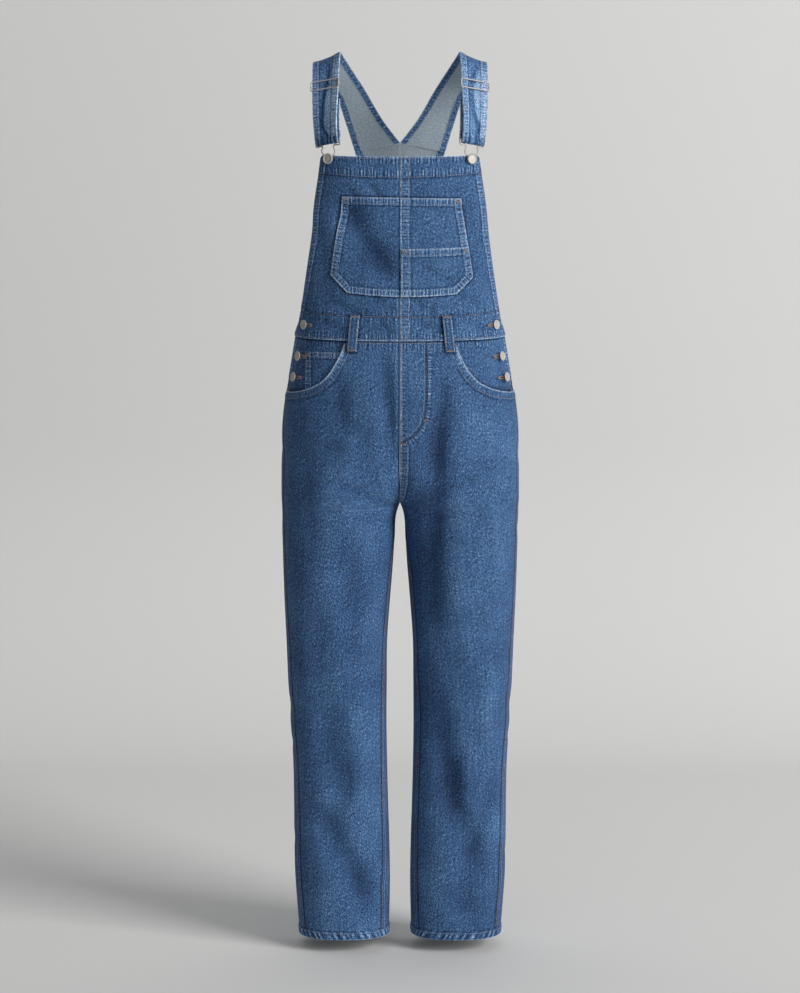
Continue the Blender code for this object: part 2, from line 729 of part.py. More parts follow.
def main():
    clear_scene()
    denim = material("denim", (0.085, 0.165, 0.330), 0.9, 0.0)
    nickel = material("nickel", (0.72, 0.71, 0.68), 0.3, 1.0)
    for side, sign in SIDES:
        bib_front(side, sign, denim)
        back_bib(side, sign, denim)
        leg_front(side, sign, denim)
        leg_back(side, sign, denim)
        hip_facing(side, sign, denim)
        strap(side, sign, denim)
        hook(side, sign, nickel)
        slider(side, sign, nickel)
        turned_button("bib_button_" + side, BIB_BUTTON, *BIB_BUTTON_AT, sign, SEAM_GAP, nickel)
        for place, x, z in SIDE_BUTTONS_AT:
            turned_button(f"side_button_{place}_{side}", SIDE_BUTTON, x, z, sign, SEAM_GAP, nickel)
    bib_pockets(denim)
    coin_pocket(denim)
    for side, x_top, z_top, x_bottom, z_bottom in LOOPS:
        belt_loop(side, x_top, z_top, x_bottom, z_bottom, denim)


main()
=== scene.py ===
from math import cos, pi, radians, sin

import bpy
import numpy as np
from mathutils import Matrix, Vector


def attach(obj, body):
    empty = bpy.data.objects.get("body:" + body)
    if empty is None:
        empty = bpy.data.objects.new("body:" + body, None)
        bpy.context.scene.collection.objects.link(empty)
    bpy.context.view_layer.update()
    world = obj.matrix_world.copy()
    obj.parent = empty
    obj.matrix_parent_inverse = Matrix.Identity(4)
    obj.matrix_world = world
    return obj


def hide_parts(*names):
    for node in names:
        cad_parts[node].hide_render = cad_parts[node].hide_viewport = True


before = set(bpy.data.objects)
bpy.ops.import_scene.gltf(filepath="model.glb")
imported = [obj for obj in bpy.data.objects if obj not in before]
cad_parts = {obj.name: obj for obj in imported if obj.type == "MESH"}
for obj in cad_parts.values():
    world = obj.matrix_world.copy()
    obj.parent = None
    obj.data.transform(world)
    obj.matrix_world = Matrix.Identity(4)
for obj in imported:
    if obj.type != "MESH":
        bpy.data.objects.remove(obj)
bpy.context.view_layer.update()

# The garment's form, in metres: heights are down from the shoulders, the front faces -Y
garment = {
    "bibTop": -0.1576, "waist": -0.4430, "crotch": -0.7070, "hem": -1.4110,
    "legsPart": -0.5300, "blendEnd": -0.5700, "seamGap": 0.0003,
    "wall": 0.0016, "waistRise": 0.0025, "roundness": 2.4, "samples": 120,
    # height, half width, front, back, depth at which it is widest
    "form": (
        (-0.130, 0.1480, -0.0800, 0.0900, 0.000), (-0.180, 0.1510, -0.0830, 0.0930, 0.000),
        (-0.230, 0.1535, -0.0860, 0.0970, 0.000), (-0.290, 0.1560, -0.0880, 0.0990, 0.000),
        (-0.350, 0.1590, -0.0890, 0.0980, 0.000), (-0.404, 0.1615, -0.0900, 0.0970, 0.000),
        (-0.440, 0.1655, -0.0910, 0.0990, 0.000), (-0.480, 0.1720, -0.0935, 0.1080, 0.001),
        (-0.528, 0.1800, -0.0970, 0.1200, 0.004), (-0.576, 0.1862, -0.1000, 0.1290, 0.008),
        (-0.620, 0.1885, -0.1010, 0.1315, 0.010), (-0.672, 0.1893, -0.0995, 0.1290, 0.011),
        (-0.707, 0.1893, -0.0970, 0.1230, 0.012), (-0.769, 0.1880, -0.0925, 0.1120, 0.010),
        (-0.866, 0.1852, -0.0860, 0.0990, 0.007), (-0.931, 0.1823, -0.0810, 0.0920, 0.006),
        (-0.996, 0.1800, -0.0760, 0.0880, 0.006), (-1.062, 0.1765, -0.0720, 0.0850, 0.006),
        (-1.128, 0.1725, -0.0685, 0.0820, 0.006), (-1.194, 0.1715, -0.0650, 0.0800, 0.007),
        (-1.260, 0.1713, -0.0620, 0.0780, 0.008), (-1.326, 0.1696, -0.0590, 0.0760, 0.008),
        (-1.360, 0.1672, -0.0575, 0.0750, 0.008), (-1.411, 0.1635, -0.0560, 0.0730, 0.008),
    ),
    # height, distance of the inner leg from the middle
    "inseam": (
        (-0.707, 0.0000), (-0.712, 0.0022), (-0.720, 0.0050), (-0.769, 0.0088), (-0.801, 0.0108),
        (-0.866, 0.0160), (-0.931, 0.0205), (-0.996, 0.0212), (-1.062, 0.0216), (-1.128, 0.0208),
        (-1.194, 0.0192), (-1.260, 0.0172), (-1.326, 0.0162), (-1.411, 0.0180),
    ),
}
sides = (("right", -1.0), ("left", 1.0))


def smooth(part):
    # a soft step from 0 to 1
    part = np.clip(part, 0.0, 1.0)
    return part * part * (3 - 2 * part)


def hump(offset, width):
    # a bell of height 1 round 0
    return np.exp(-((offset / width) ** 2))


def ripple(run):
    # an uneven wave between -1 and 1: the sine of a turn that is itself bent by two slower sines
    turn = run * seams["turn"]
    bent = turn + 1.3 * np.sin(turn / 5.3) + 0.9 * np.sin(turn / 2.3 + 1.0)
    return (0.72 + 0.28 * np.sin(turn / 3.7)) * np.sin(bent)


def unit(vectors):
    return vectors / np.maximum(np.linalg.norm(vectors, axis=-1, keepdims=True), 1e-12)


def curveValue(table, column, at):
    # a smooth curve through one column of a table, read at values of its first column
    rows = np.array(table)
    rows = rows[np.argsort(rows[:, 0])]
    known, values = rows[:, 0], rows[:, column]
    slopes = np.gradient(values, known)
    at = np.clip(at, known[0], known[-1])
    left = np.clip(np.searchsorted(known, at, side="right") - 1, 0, len(known) - 2)
    span = known[left + 1] - known[left]
    part = (at - known[left]) / span
    rest = 1 - part
    start = values[left] * (1 + 2 * part) * rest**2 + slopes[left] * span * part * rest**2
    return start + values[left + 1] * part**2 * (3 - 2 * part) - slopes[left + 1] * span * part**2 * rest


def formAt(height):
    # outer half width, inner reach, middle x, front depth, back depth, middle y of a half section
    side = curveValue(garment["form"], 1, height)
    middleY = curveValue(garment["form"], 4, height)
    front = middleY - curveValue(garment["form"], 2, height)
    back = curveValue(garment["form"], 3, height) - middleY
    below = height < garment["crotch"]
    inner = np.where(below, curveValue(garment["inseam"], 1, height), 0.0)
    parted = (garment["legsPart"] - height) / (garment["legsPart"] - garment["crotch"])
    parted = np.clip(parted, 1e-6, 1.0)
    middleX = (side + inner) / 2 * smooth(parted)
    reach = np.where(below, middleX - inner, middleX / parted**1.5)
    return side - middleX, np.maximum(reach, 1e-9), middleX, front, back, middleY


def halfSection(height, back):
    # x = middle +- reach cos^(2/n), y = middle -+ depth sin^(2/n), from the middle or inseam to the side
    outer, reach, middleX, front, rear, middleY = (v[..., None] for v in formAt(height))
    power = 2 / garment["roundness"]
    cut = np.clip(middleX / reach, 0.0, 1.0) ** (1 / power)
    angle = np.linspace(1.0, 0.0, garment["samples"]) * np.arccos(-cut)
    x = middleX + np.where(np.cos(angle) > 0, outer, -reach) * np.abs(np.cos(angle)) ** power
    y = middleY + (rear if back else -front) * np.abs(np.sin(angle)) ** power
    inseam = garment["seamGap"] / 2
    return inseam + x * (1 - inseam / 0.19), y


def runLength(x, y):
    steps = np.hypot(np.diff(x, axis=-1), np.diff(y, axis=-1))
    return np.concatenate([np.zeros(steps.shape[:-1] + (1,)), np.cumsum(steps, axis=-1)], axis=-1)


def sectionPoint(height, share, back):
    # the form's point at a share of the way from the middle (0) to the side seam (1)
    height, share = np.broadcast_arrays(np.asarray(height, float), np.asarray(share, float))
    x, y = halfSection(height, back)
    length = runLength(x, y)
    wanted = share * length[..., -1]
    left = (length <= wanted[..., None]).sum(-1) - 1
    left = np.clip(left, 0, garment["samples"] - 2)[..., None]
    start = np.take_along_axis(length, left, -1)
    part = (wanted[..., None] - start) / np.maximum(np.take_along_axis(length, left + 1, -1) - start, 1e-12)
    pair = []
    for values in (x, y):
        low = np.take_along_axis(values, left, -1)
        pair.append((low + part * (np.take_along_axis(values, left + 1, -1) - low))[..., 0])
    return np.stack([*pair, height], axis=-1)


def shareAt(height, wantedX, back=False):
    # the share of the half section at which it is this far from the middle
    height, wantedX = np.broadcast_arrays(np.asarray(height, float), np.asarray(wantedX, float))
    x, y = halfSection(height, back)
    length = runLength(x, y)
    right = np.clip((x < wantedX[..., None]).sum(-1), 1, garment["samples"] - 1)[..., None]
    lowX, highX = np.take_along_axis(x, right - 1, -1), np.take_along_axis(x, right, -1)
    part = np.clip((wantedX[..., None] - lowX) / np.maximum(highX - lowX, 1e-12), 0, 1)
    low = np.take_along_axis(length, right - 1, -1)
    return ((low + part * (np.take_along_axis(length, right, -1) - low)) / length[..., -1:])[..., 0]


def formTable(back):
    # points, outward normals and half lengths of the form on an even grid of heights and shares
    heights = np.linspace(-0.126, -1.4140, 600)
    shares = np.linspace(0.0, 1.0, 181)
    points = sectionPoint(heights[:, None], shares[None, :], back)
    normals = np.cross(np.gradient(points, axis=1), np.gradient(points, axis=0))
    normals = unit(normals * (1.0 if back else -1.0))
    normals[:, -1] = unit(normals[:, -1] * (1.0, 0.0, 1.0))
    below = heights < garment["crotch"]
    normals[below, 0] = unit(normals[below, 0] * (1.0, 0.0, 1.0))
    x, y = halfSection(heights, back)
    return {"heights": heights, "points": points, "normals": normals, "lengths": runLength(x, y)[:, -1]}


formTables = {back: formTable(back) for back in (False, True)}
print("form ready")


def lengthAt(height, back):
    table = formTables[back]
    return np.interp(-height, -table["heights"], table["lengths"])


def formPoint(height, share, back):
    # bilinear reading of the form's table
    table = formTables[back]
    rows, columns = table["points"].shape[:2]
    top, end = table["heights"][0], table["heights"][-1]
    r = np.clip((height - top) / (end - top) * (rows - 1), 0, rows - 1.001)
    c = np.clip(share * (columns - 1), 0, columns - 1.001)
    r0, c0 = r.astype(int), c.astype(int)
    fr, fc = (r - r0)[..., None], (c - c0)[..., None]
    found = []
    for grid in (table["points"], table["normals"]):
        upper = grid[r0, c0] * (1 - fc) + grid[r0, c0 + 1] * fc
        lower = grid[r0 + 1, c0] * (1 - fc) + grid[r0 + 1, c0 + 1] * fc
        found.append(upper * (1 - fr) + lower * fr)
    return found[0], unit(found[1])


# Soft troughs (positive depth) and ridges (negative): x, height of start and end, half width, depth
creases = {
    False: (
        (0.062, -0.500, 0.055, -0.655, 0.015, 0.0030), (0.052, -0.560, 0.050, -0.900, 0.020, 0.0048),
        (0.044, -1.010, 0.118, -1.300, 0.027, 0.0058), (-0.128, -0.860, -0.122, -1.130, 0.024, 0.0024),
        (-0.070, -0.235, -0.058, -0.345, 0.028, 0.0030), (-0.076, -1.300, -0.054, -1.385, 0.022, 0.0028),
        (-0.112, -0.530, -0.104, -0.620, 0.022, 0.0022),
        (-0.138, -1.205, -0.040, -1.345, 0.024, 0.0044), (-0.030, -0.470, -0.003, -0.650, 0.012, 0.0034),
        (-0.094, -0.505, -0.088, -0.590, 0.016, 0.0022), (-0.104, -1.030, -0.094, -1.200, 0.022, 0.0030),
        (-0.080, -0.750, -0.078, -0.950, 0.022, 0.0034), (0.078, -1.110, 0.076, -1.205, 0.020, 0.0022),
        (0.116, -1.235, 0.112, -1.365, 0.018, 0.0020), (0.142, -0.960, 0.136, -1.080, 0.016, -0.0024),
        (0.106, -1.110, 0.102, -1.190, 0.015, -0.0022), (-0.088, -0.228, -0.018, -0.350, 0.018, 0.0034),
        (-0.058, -0.192, -0.030, -0.222, 0.006, 0.0016), (-0.084, -0.205, -0.070, -0.222, 0.005, 0.0012),
        (0.030, -0.330, 0.080, -0.352, 0.008, 0.0014), (-0.110, -0.385, -0.060, -0.402, 0.008, 0.0015),
        (0.020, -0.378, 0.050, -0.398, 0.007, 0.0016), (-0.046, -0.372, -0.012, -0.396, 0.007, 0.0014),
        (0.088, -0.372, 0.132, -0.396, 0.008, 0.0016), (-0.140, -0.410, -0.090, -0.428, 0.007, 0.0014),
        (0.094, -0.408, 0.140, -0.430, 0.007, 0.0016), (-0.040, -0.410, -0.012, -0.432, 0.006, 0.0012),
        (0.020, -0.412, 0.060, -0.430, 0.007, 0.0014), (0.024, -0.215, 0.058, -0.250, 0.010, 0.0012),
        (0.100, -0.230, 0.120, -0.300, 0.012, 0.0016),
        (-0.126, -0.260, -0.118, -0.390, 0.014, 0.0018), (0.020, -0.700, 0.110, -0.655, 0.011, 0.0022),
        (-0.018, -0.705, -0.105, -0.668, 0.011, 0.0020), (0.016, -0.728, 0.090, -0.715, 0.009, 0.0018),
        (-0.014, -0.735, -0.080, -0.722, 0.009, 0.0016), (-0.060, -0.560, -0.052, -0.760, 0.018, 0.0018),
        (0.128, -0.600, 0.120, -0.800, 0.020, 0.0016), (0.148, -1.150, 0.090, -1.330, 0.012, 0.0016),
        (-0.060, -1.060, -0.082, -1.260, 0.016, -0.0016), (0.060, -1.330, 0.120, -1.375, 0.017, 0.0020),
        (-0.150, -0.600, -0.146, -0.760, 0.016, 0.0018), (0.100, -0.820, 0.104, -0.960, 0.020, -0.0022),
    ),
    True: (
        (0.020, -0.470, 0.062, -0.520, 0.010, 0.0016), (-0.024, -0.468, -0.070, -0.512, 0.010, 0.0016),
        (0.030, -0.745, 0.125, -0.790, 0.014, 0.0042), (-0.032, -0.752, -0.118, -0.785, 0.013, 0.0040),
        (0.040, -0.790, 0.130, -0.838, 0.012, 0.0026), (-0.046, -0.800, -0.136, -0.828, 0.013, 0.0028),
        (0.052, -0.470, 0.056, -0.600, 0.016, 0.0022), (-0.048, -0.465, -0.058, -0.620, 0.018, 0.0024),
        (0.100, -0.480, 0.094, -0.560, 0.013, 0.0018), (-0.104, -0.475, -0.098, -0.575, 0.013, 0.0016),
        (0.050, -0.985, 0.140, -1.030, 0.012, 0.0036), (-0.048, -1.000, -0.136, -1.026, 0.013, 0.0038),
        (0.060, -1.062, 0.150, -1.038, 0.011, 0.0030), (-0.056, -1.050, -0.140, -1.078, 0.011, 0.0032),
        (0.044, -1.110, 0.120, -1.150, 0.012, 0.0026), (-0.058, -1.120, -0.128, -1.100, 0.012, 0.0024),
        (0.092, -0.850, 0.086, -0.960, 0.020, 0.0024), (-0.094, -0.860, -0.100, -0.980, 0.018, 0.0022),
        (0.120, -1.180, 0.070, -1.330, 0.014, 0.0030), (-0.126, -1.170, -0.074, -1.345, 0.015, 0.0032),
        (0.060, -1.215, 0.058, -1.360, 0.012, 0.0016), (-0.060, -1.240, -0.064, -1.370, 0.012, 0.0018),
        (0.010, -0.200, 0.050, -0.330, 0.013, 0.0022), (-0.012, -0.215, -0.048, -0.320, 0.012, 0.0020),
        (0.060, -0.360, 0.110, -0.420, 0.012, 0.0018), (-0.064, -0.355, -0.104, -0.425, 0.012, 0.0020),
        (0.020, -0.395, -0.040, -0.425, 0.009, 0.0014), (0.100, -0.640, 0.096, -0.720, 0.020, -0.0022),
        (-0.098, -0.640, -0.102, -0.730, 0.020, -0.0020),
    ),
}
# Troughs across the side seam of each leg: distance round from the seam (back positive), height, twice
sideCreases = {
    -1.0: ((-0.060, -0.640, 0.050, -0.600, 0.014, 0.0018), (-0.030, -0.720, 0.070, -0.760, 0.015, 0.0020),
           (-0.050, -1.045, 0.060, -1.010, 0.017, 0.0024), (-0.030, -1.100, 0.055, -1.078, 0.010, 0.0018),
           (-0.045, -1.240, 0.050, -1.275, 0.011, 0.0018)),
    1.0: ((-0.050, -0.620, 0.060, -0.655, 0.011, 0.0018), (-0.045, -0.740, 0.060, -0.770, 0.010, 0.0018),
          (-0.055, -1.020, 0.060, -1.045, 0.017, 0.0024), (-0.030, -1.075, 0.050, -1.096, 0.010, 0.0018),
          (-0.040, -1.290, 0.050, -1.250, 0.011, 0.0018)),
}
# How the creases are laid on: their depth and painted shade, and where they start to die out towards the seams
draping = {
    "deepen": 1.95, "shade": 54.0, "acrossSeam": 0.4, "fade": 0.15,
    "middleFrom": -0.600, "middleOver": 0.080, "sideFrom": -0.440, "sideOver": 0.030,
    "seamFrom": -0.540, "seamOver": 0.040,
}


def lineDepth(across, height, table):
    # each line's depth times a bell across it, dying out at its ends and uneven along it
    depth = np.zeros(np.broadcast(across, height).shape)
    for order, (xStart, zStart, xEnd, zEnd, halfWidth, deep) in enumerate(table):
        run = np.array([xEnd - xStart, zEnd - zStart])
        length = np.hypot(*run)
        along = ((across - xStart) * run[0] + (height - zStart) * run[1]) / length**2
        away = ((across - xStart) * run[1] - (height - zStart) * run[0]) / length
        away = away + 0.22 * halfWidth * np.sin(5.0 * along + order)
        ends = smooth(along / 0.3 + 0.5) * smooth((1 - along) / 0.3 + 0.5)
        depth += deep * ends * hump(away, halfWidth) * (0.86 + 0.14 * np.sin(9.0 * along + 2.0 * order))
    return depth


def drape(height, share, back, sign):
    # the form's point pushed in along its normal by the creases, which die out towards the seams; their painted
    # shade, darker in the troughs and lighter on the ridges
    height, share = np.broadcast_arrays(np.asarray(height, float), np.asarray(share, float))
    point, normal = formPoint(height, share, back)
    point = point * (sign, 1.0, 1.0)
    normal = normal * (sign, 1.0, 1.0)
    near = {place: smooth((draping[place + "From"] - height) / draping[place + "Over"])
            for place in ("middle", "side", "seam")}
    offMiddle = 1 - (1 - smooth(share / draping["fade"])) * near["middle"]
    offSide = 1 - (1 - smooth((1 - share) / draping["fade"])) * near["side"]
    depth = lineDepth(point[..., 0], height, creases[back]) * offMiddle * offSide
    around = (1 - share) * lengthAt(height, back) * (1.0 if back else -1.0)
    depth = depth + draping["acrossSeam"] * lineDepth(around, height, sideCreases[sign]) * near["seam"]
    return point - normal * (draping["deepen"] * depth)[..., None], normal, -draping["shade"] * depth


# Sewing: the ripples' pitch, a stitch row's depth, half width and distance from its edge, the ease of
# a strip's edge, how far a felled seam lies off the middle, and how dark the painted shade in a row's groove is
seams = {"pitch": 0.0052, "press": 0.0004, "needle": 0.0010, "row": 0.0018, "soft": 0.0016, "fold": 0.0010,
         "groove": 0.35}
seams["turn"] = 2 * pi / seams["pitch"]


def rowInsets(width, offset=0.0):
    # how far a strip's two stitch rows lie from its edge
    return seams["row"] + offset, width - seams["row"] + offset


class Relief:
    # what sewing does to the cloth's face: lift in metres, wear with painted shade and painted highlights mixed
    # in, and the strength and run of its ripples

    def __init__(self, *like):
        self.lift = np.zeros(np.broadcast(*like).shape)
        self.wear, self.ladder, self.run = self.lift.copy(), self.lift.copy(), self.lift.copy()

    def add(self, lift=0.0, wear=0.0):
        self.lift = self.lift + lift
        self.wear = self.wear + wear

    def waves(self, bell, run, height):
        stronger = bell > self.ladder
        self.run = np.where(stronger, run, self.run)
        self.ladder = np.maximum(self.ladder, np.minimum(bell, 1.4))
        self.lift = self.lift + height * ripple(run) * bell

    def band(self, distance, run, width, seed, lift=0.0007, height=0.00030, mask=1.0,
             slant=0.0, scale=1.0, strength=1.0, worn=1.0):
        # a raised, rippled strip between two pressed stitch rows, pale along its edge, with a painted shadow
        # beside it
        soft = seams["soft"]
        inside = smooth((width - distance) / soft + 0.5) * smooth(distance / soft + 0.9)
        rows = sum(hump(distance - inset, seams["needle"]) for inset in rowInsets(width))
        self.add((lift * inside - seams["press"] * rows) * mask, -seams["groove"] * rows * mask)
        self.add(0.0, (0.16 * inside + 0.60 * hump(distance - width + 0.0002, 0.0009)) * mask * worn)
        self.add(0.0, -0.50 * hump(distance - width - 0.0017, 0.0012) * mask)
        bell = hump(distance - 0.5 * width, 0.55 * width) * mask * strength
        self.waves(bell, (run + slant * distance) * scale + seed, height)

    def row(self, distance, run, seed, reach=0.0050, offset=0.003, height=0.00030, mask=1.0, strength=1.0):
        # a single stitch row at distance 0, with ripples on its positive side
        row = hump(distance, seams["needle"]) * mask
        self.add(-seams["press"] * row, -seams["groove"] * row)
        self.waves(hump(distance - offset, reach) * mask * strength, run + seed, height)

    def tuck(self, toTop, drop, mask=1.0):
        # the edge that goes under the piece above: sunk and in its shadow
        sunk = 1 - smooth((toTop + 0.0008) / 0.0040)
        self.add(-drop * sunk * mask, -0.9 * hump(toTop - 0.0002, 0.0016) * mask)

    def onto(self, point, normal):
        # the raised face, its normal, this relief and the bare cloth under it
        return point + normal * self.lift[..., None], normal, self, point


def lineDistance(x, z, line):
    # signed distance from a line of points and the run along it, at the nearest of its stretches
    best = np.full(np.broadcast(x, z).shape, 9.0)
    signed, run = best.copy(), best.copy()
    travelled = 0.0
    for (x0, z0), (x1, z1) in zip(line[:-1], line[1:]):
        step = np.array([x1 - x0, z1 - z0])
        length = np.hypot(*step)
        along = np.clip(((x - x0) * step[0] + (z - z0) * step[1]) / length**2, 0, 1)
        offX, offZ = x - x0 - along * step[0], z - z0 - along * step[1]
        away = np.hypot(offX, offZ)
        turn = np.sign((x - x0) * step[1] - (z - z0) * step[0])
        nearer = away < best
        signed = np.where(nearer, away * turn, signed)
        run = np.where(nearer, travelled + along * length, run)
        best = np.minimum(best, away)
        travelled += length
    return signed, run


# Meshes
scene = bpy.context.scene
for thing in [t for t in scene.objects if t.type in ("LIGHT", "CAMERA")]:
    bpy.data.objects.remove(thing)
materials = {}


def makePiece(name, points, faces, paints, paintOf=None, uv=None, marks=None, nodes=(), sharp=0.9):
    # one mesh in place, with its UV map in metres and its marks, riding on the only body
    mesh = bpy.data.meshes.new(name)
    mesh.from_pydata(np.asarray(points).reshape(-1, 3).tolist(), [], [list(f) for f in faces])
    for paint in paints:
        mesh.materials.append(materials[paint])
    if paintOf is not None:
        mesh.polygons.foreach_set("material_index", np.asarray(paintOf, np.int32))
    if uv is not None:
        corners = np.empty(len(mesh.loops), np.int32)
        mesh.loops.foreach_get("vertex_index", corners)
        layer = mesh.uv_layers.new(name="cloth")
        layer.data.foreach_set("uv", np.asarray(uv, np.float32).reshape(-1, 2)[corners].ravel())
    for mark, values in (marks or {}).items():
        store = mesh.attributes.new(mark, "FLOAT", "POINT")
        store.data.foreach_set("value", np.asarray(values, np.float32).ravel())
    mesh.shade_smooth()
    if sharp:
        mesh.set_sharp_from_angle(angle=sharp)
    mesh.update()
    piece = bpy.data.objects.new(name, mesh)
    scene.collection.objects.link(piece)
    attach(piece, "root")
    if nodes:
        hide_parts(*nodes)
    return piece


def gridFaces(rows, columns):
    # the numbers of a grid's points, and the four round each of its faces
    index = np.arange(rows * columns).reshape(rows, columns)
    corners = (index[:-1, :-1], index[:-1, 1:], index[1:, 1:], index[1:, :-1])
    return index, np.stack(corners, -1).reshape(-1, 4)


def makeShell(name, face, reverse, uv, relief, nodes, turned=None):
    # a wall of cloth: the grid of its face, the grid of its reverse, and a rim round them
    rows, columns = face.shape[:2]
    count = rows * columns
    index, quads = gridFaces(rows, columns)
    across, down = face[:-1, 1:] - face[:-1, :-1], face[1:, :-1] - face[:-1, :-1]
    outward = (face - reverse)[:-1, :-1]
    flip = (np.cross(across, down) * outward).sum() < 0
    loop = np.concatenate([index[0, :], index[1:, -1], index[-1, -2::-1], index[-2:0:-1, 0]])
    after = np.roll(loop, -1)
    rim = np.stack([after, loop, loop + count, after + count], -1)
    if flip:
        quads, rim = quads[:, ::-1], rim[:, ::-1]
    faces = np.concatenate([quads, quads[:, ::-1] + count, rim])
    inner = np.ones(len(quads), int) if turned is None else 1 - turned.reshape(-1).astype(int)
    paintOf = np.concatenate([np.zeros(len(quads), int), inner, np.zeros(len(rim), int)])
    points = np.concatenate([face.reshape(-1, 3), reverse.reshape(-1, 3)])
    both = np.concatenate([uv.reshape(-1, 2), uv.reshape(-1, 2)])
    marks = {"wear": np.clip(relief.wear, -1, 1), "ladder": relief.ladder, "run": relief.run}
    for mark, values in marks.items():
        marks[mark] = np.tile(np.broadcast_to(values, (rows, columns)).reshape(-1), 2)
    return makePiece(name, points, faces.tolist(), ("denim", "reverse"), paintOf, both, marks, nodes)


# Sewing thread: stitches are small beads, four sides and four rings each
stitch = {"pitch": 0.0034, "length": 0.0023, "radius": 0.00034, "lift": 0.00008, "look": 0.0006}
tacks = {"pitch": 0.00062, "radius": 0.00046, "lift": 0.0004, "lean": 0.22, "width": 0.0022}


def beads(centre, along, normal, length, radius):
    # beads of a length along one direction, round it a square section that narrows at both ends
    aside = np.cross(along, normal)
    stops = np.array([-0.5, -0.32, 0.32, 0.5])[:, None, None] * length
    thin = np.array([0.45, 1.0, 1.0, 0.45])[:, None, None] * radius
    angle = np.array([0.25, 0.75, 1.25, 1.75])[:, None] * pi
    ring = np.cos(angle) * aside[:, None, None] + np.sin(angle) * normal[:, None, None]
    points = centre[:, None, None] + stops * along[:, None, None] + thin * ring
    a = np.arange(4)
    b = (a + 1) % 4
    sidesOf = [np.stack([r * 4 + a, r * 4 + b, r * 4 + 4 + b, r * 4 + 4 + a], -1) for r in range(3)]
    each = np.concatenate([*sidesOf, [[3, 2, 1, 0]], [[12, 13, 14, 15]]])
    faces = (np.arange(len(centre))[:, None, None] * 16 + each).reshape(-1, 4)
    return points.reshape(-1, 3), faces


def pathRun(path):
    # distances along a line of points
    return np.concatenate([[0.0], np.cumsum(np.linalg.norm(np.diff(path, axis=0), axis=1))])


def alongPath(path, values, spots):
    # values read at distances along a path
    run = pathRun(path)
    return np.stack([np.interp(spots, run, values[:, i]) for i in range(values.shape[1])], -1)


def stitchRow(path, normal, start=0.001):
    # stitches at even spaces along a line of points on the cloth
    first, end = start + stitch["length"] / 2, pathRun(path)[-1] - start - stitch["length"] / 2
    spots = np.arange(first, end, stitch["pitch"])
    centre = alongPath(path, path, spots)
    ahead = alongPath(path, path, spots + stitch["look"]) - alongPath(path, path, spots - stitch["look"])
    up = unit(alongPath(path, normal, spots))
    ahead = unit(ahead - (ahead * up).sum(-1, keepdims=True) * up)
    return beads(centre + up * stitch["lift"], ahead, up, stitch["length"], stitch["radius"])


def tack(point, normal, along, length):
    # a bar tack: threads side by side across its length, leaning to and fro
    up = unit(np.asarray(normal, float))
    along = unit(along - (along * up).sum() * up)
    count = max(4, int(length / tacks["pitch"]))
    spots = (np.arange(count) + 0.5) / count - 0.5
    centre = point + spots[:, None] * length * along + up * tacks["lift"]
    across = unit(np.cross(up, along))
    across = unit(across + tacks["lean"] * along * np.where(np.arange(count) % 2, 1.0, -1.0)[:, None])
    return beads(centre, across, np.broadcast_to(up, centre.shape), tacks["width"], tacks["radius"])


def sewing(name, rows, paint="thread"):
    # joins rows of stitches into one piece
    points, faces, first = [], [], 0
    for rowPoints, rowFaces in rows:
        points.append(rowPoints)
        faces.append(rowFaces + first)
        first += len(rowPoints)
    return makePiece(name, np.concatenate(points), np.concatenate(faces).tolist(), (paint,), sharp=None)


class Rows:
    # stitch rows on a surface that gives the face and its normal at a place

    def __init__(self, surface):
        self.surface, self.made = surface, []

    def add(self, *place):
        face, normal = self.surface(*place)[:2]
        self.made.append(stitchRow(face, normal))


# Shader sums
class Sum:
    # a socket that takes part in Python expressions: each operation adds its Math node

    def __init__(self, tree, out):
        self.tree, self.out = tree, out

    def math(self, operation, *values):
        made = self.tree.nodes.new("ShaderNodeMath")
        made.operation = operation
        for place, value in enumerate(values):
            if isinstance(value, Sum):
                self.tree.links.new(value.out, made.inputs[place])
            else:
                made.inputs[place].default_value = value
        return Sum(self.tree, made.outputs[0])

    def __add__(self, other):
        return self.math("ADD", self, other)

    def __radd__(self, other):
        return self.math("ADD", other, self)

    def __sub__(self, other):
        return self.math("SUBTRACT", self, other)

    def __rsub__(self, other):
        return self.math("SUBTRACT", other, self)

    def __mul__(self, other):
        return self.math("MULTIPLY", self, other)

    def __rmul__(self, other):
        return self.math("MULTIPLY", other, self)

    def sine(self):
        return self.math("SINE", self)

    def clamp(self):
        return self.math("MAXIMUM", self.math("MINIMUM", self, 1.0), 0.0)


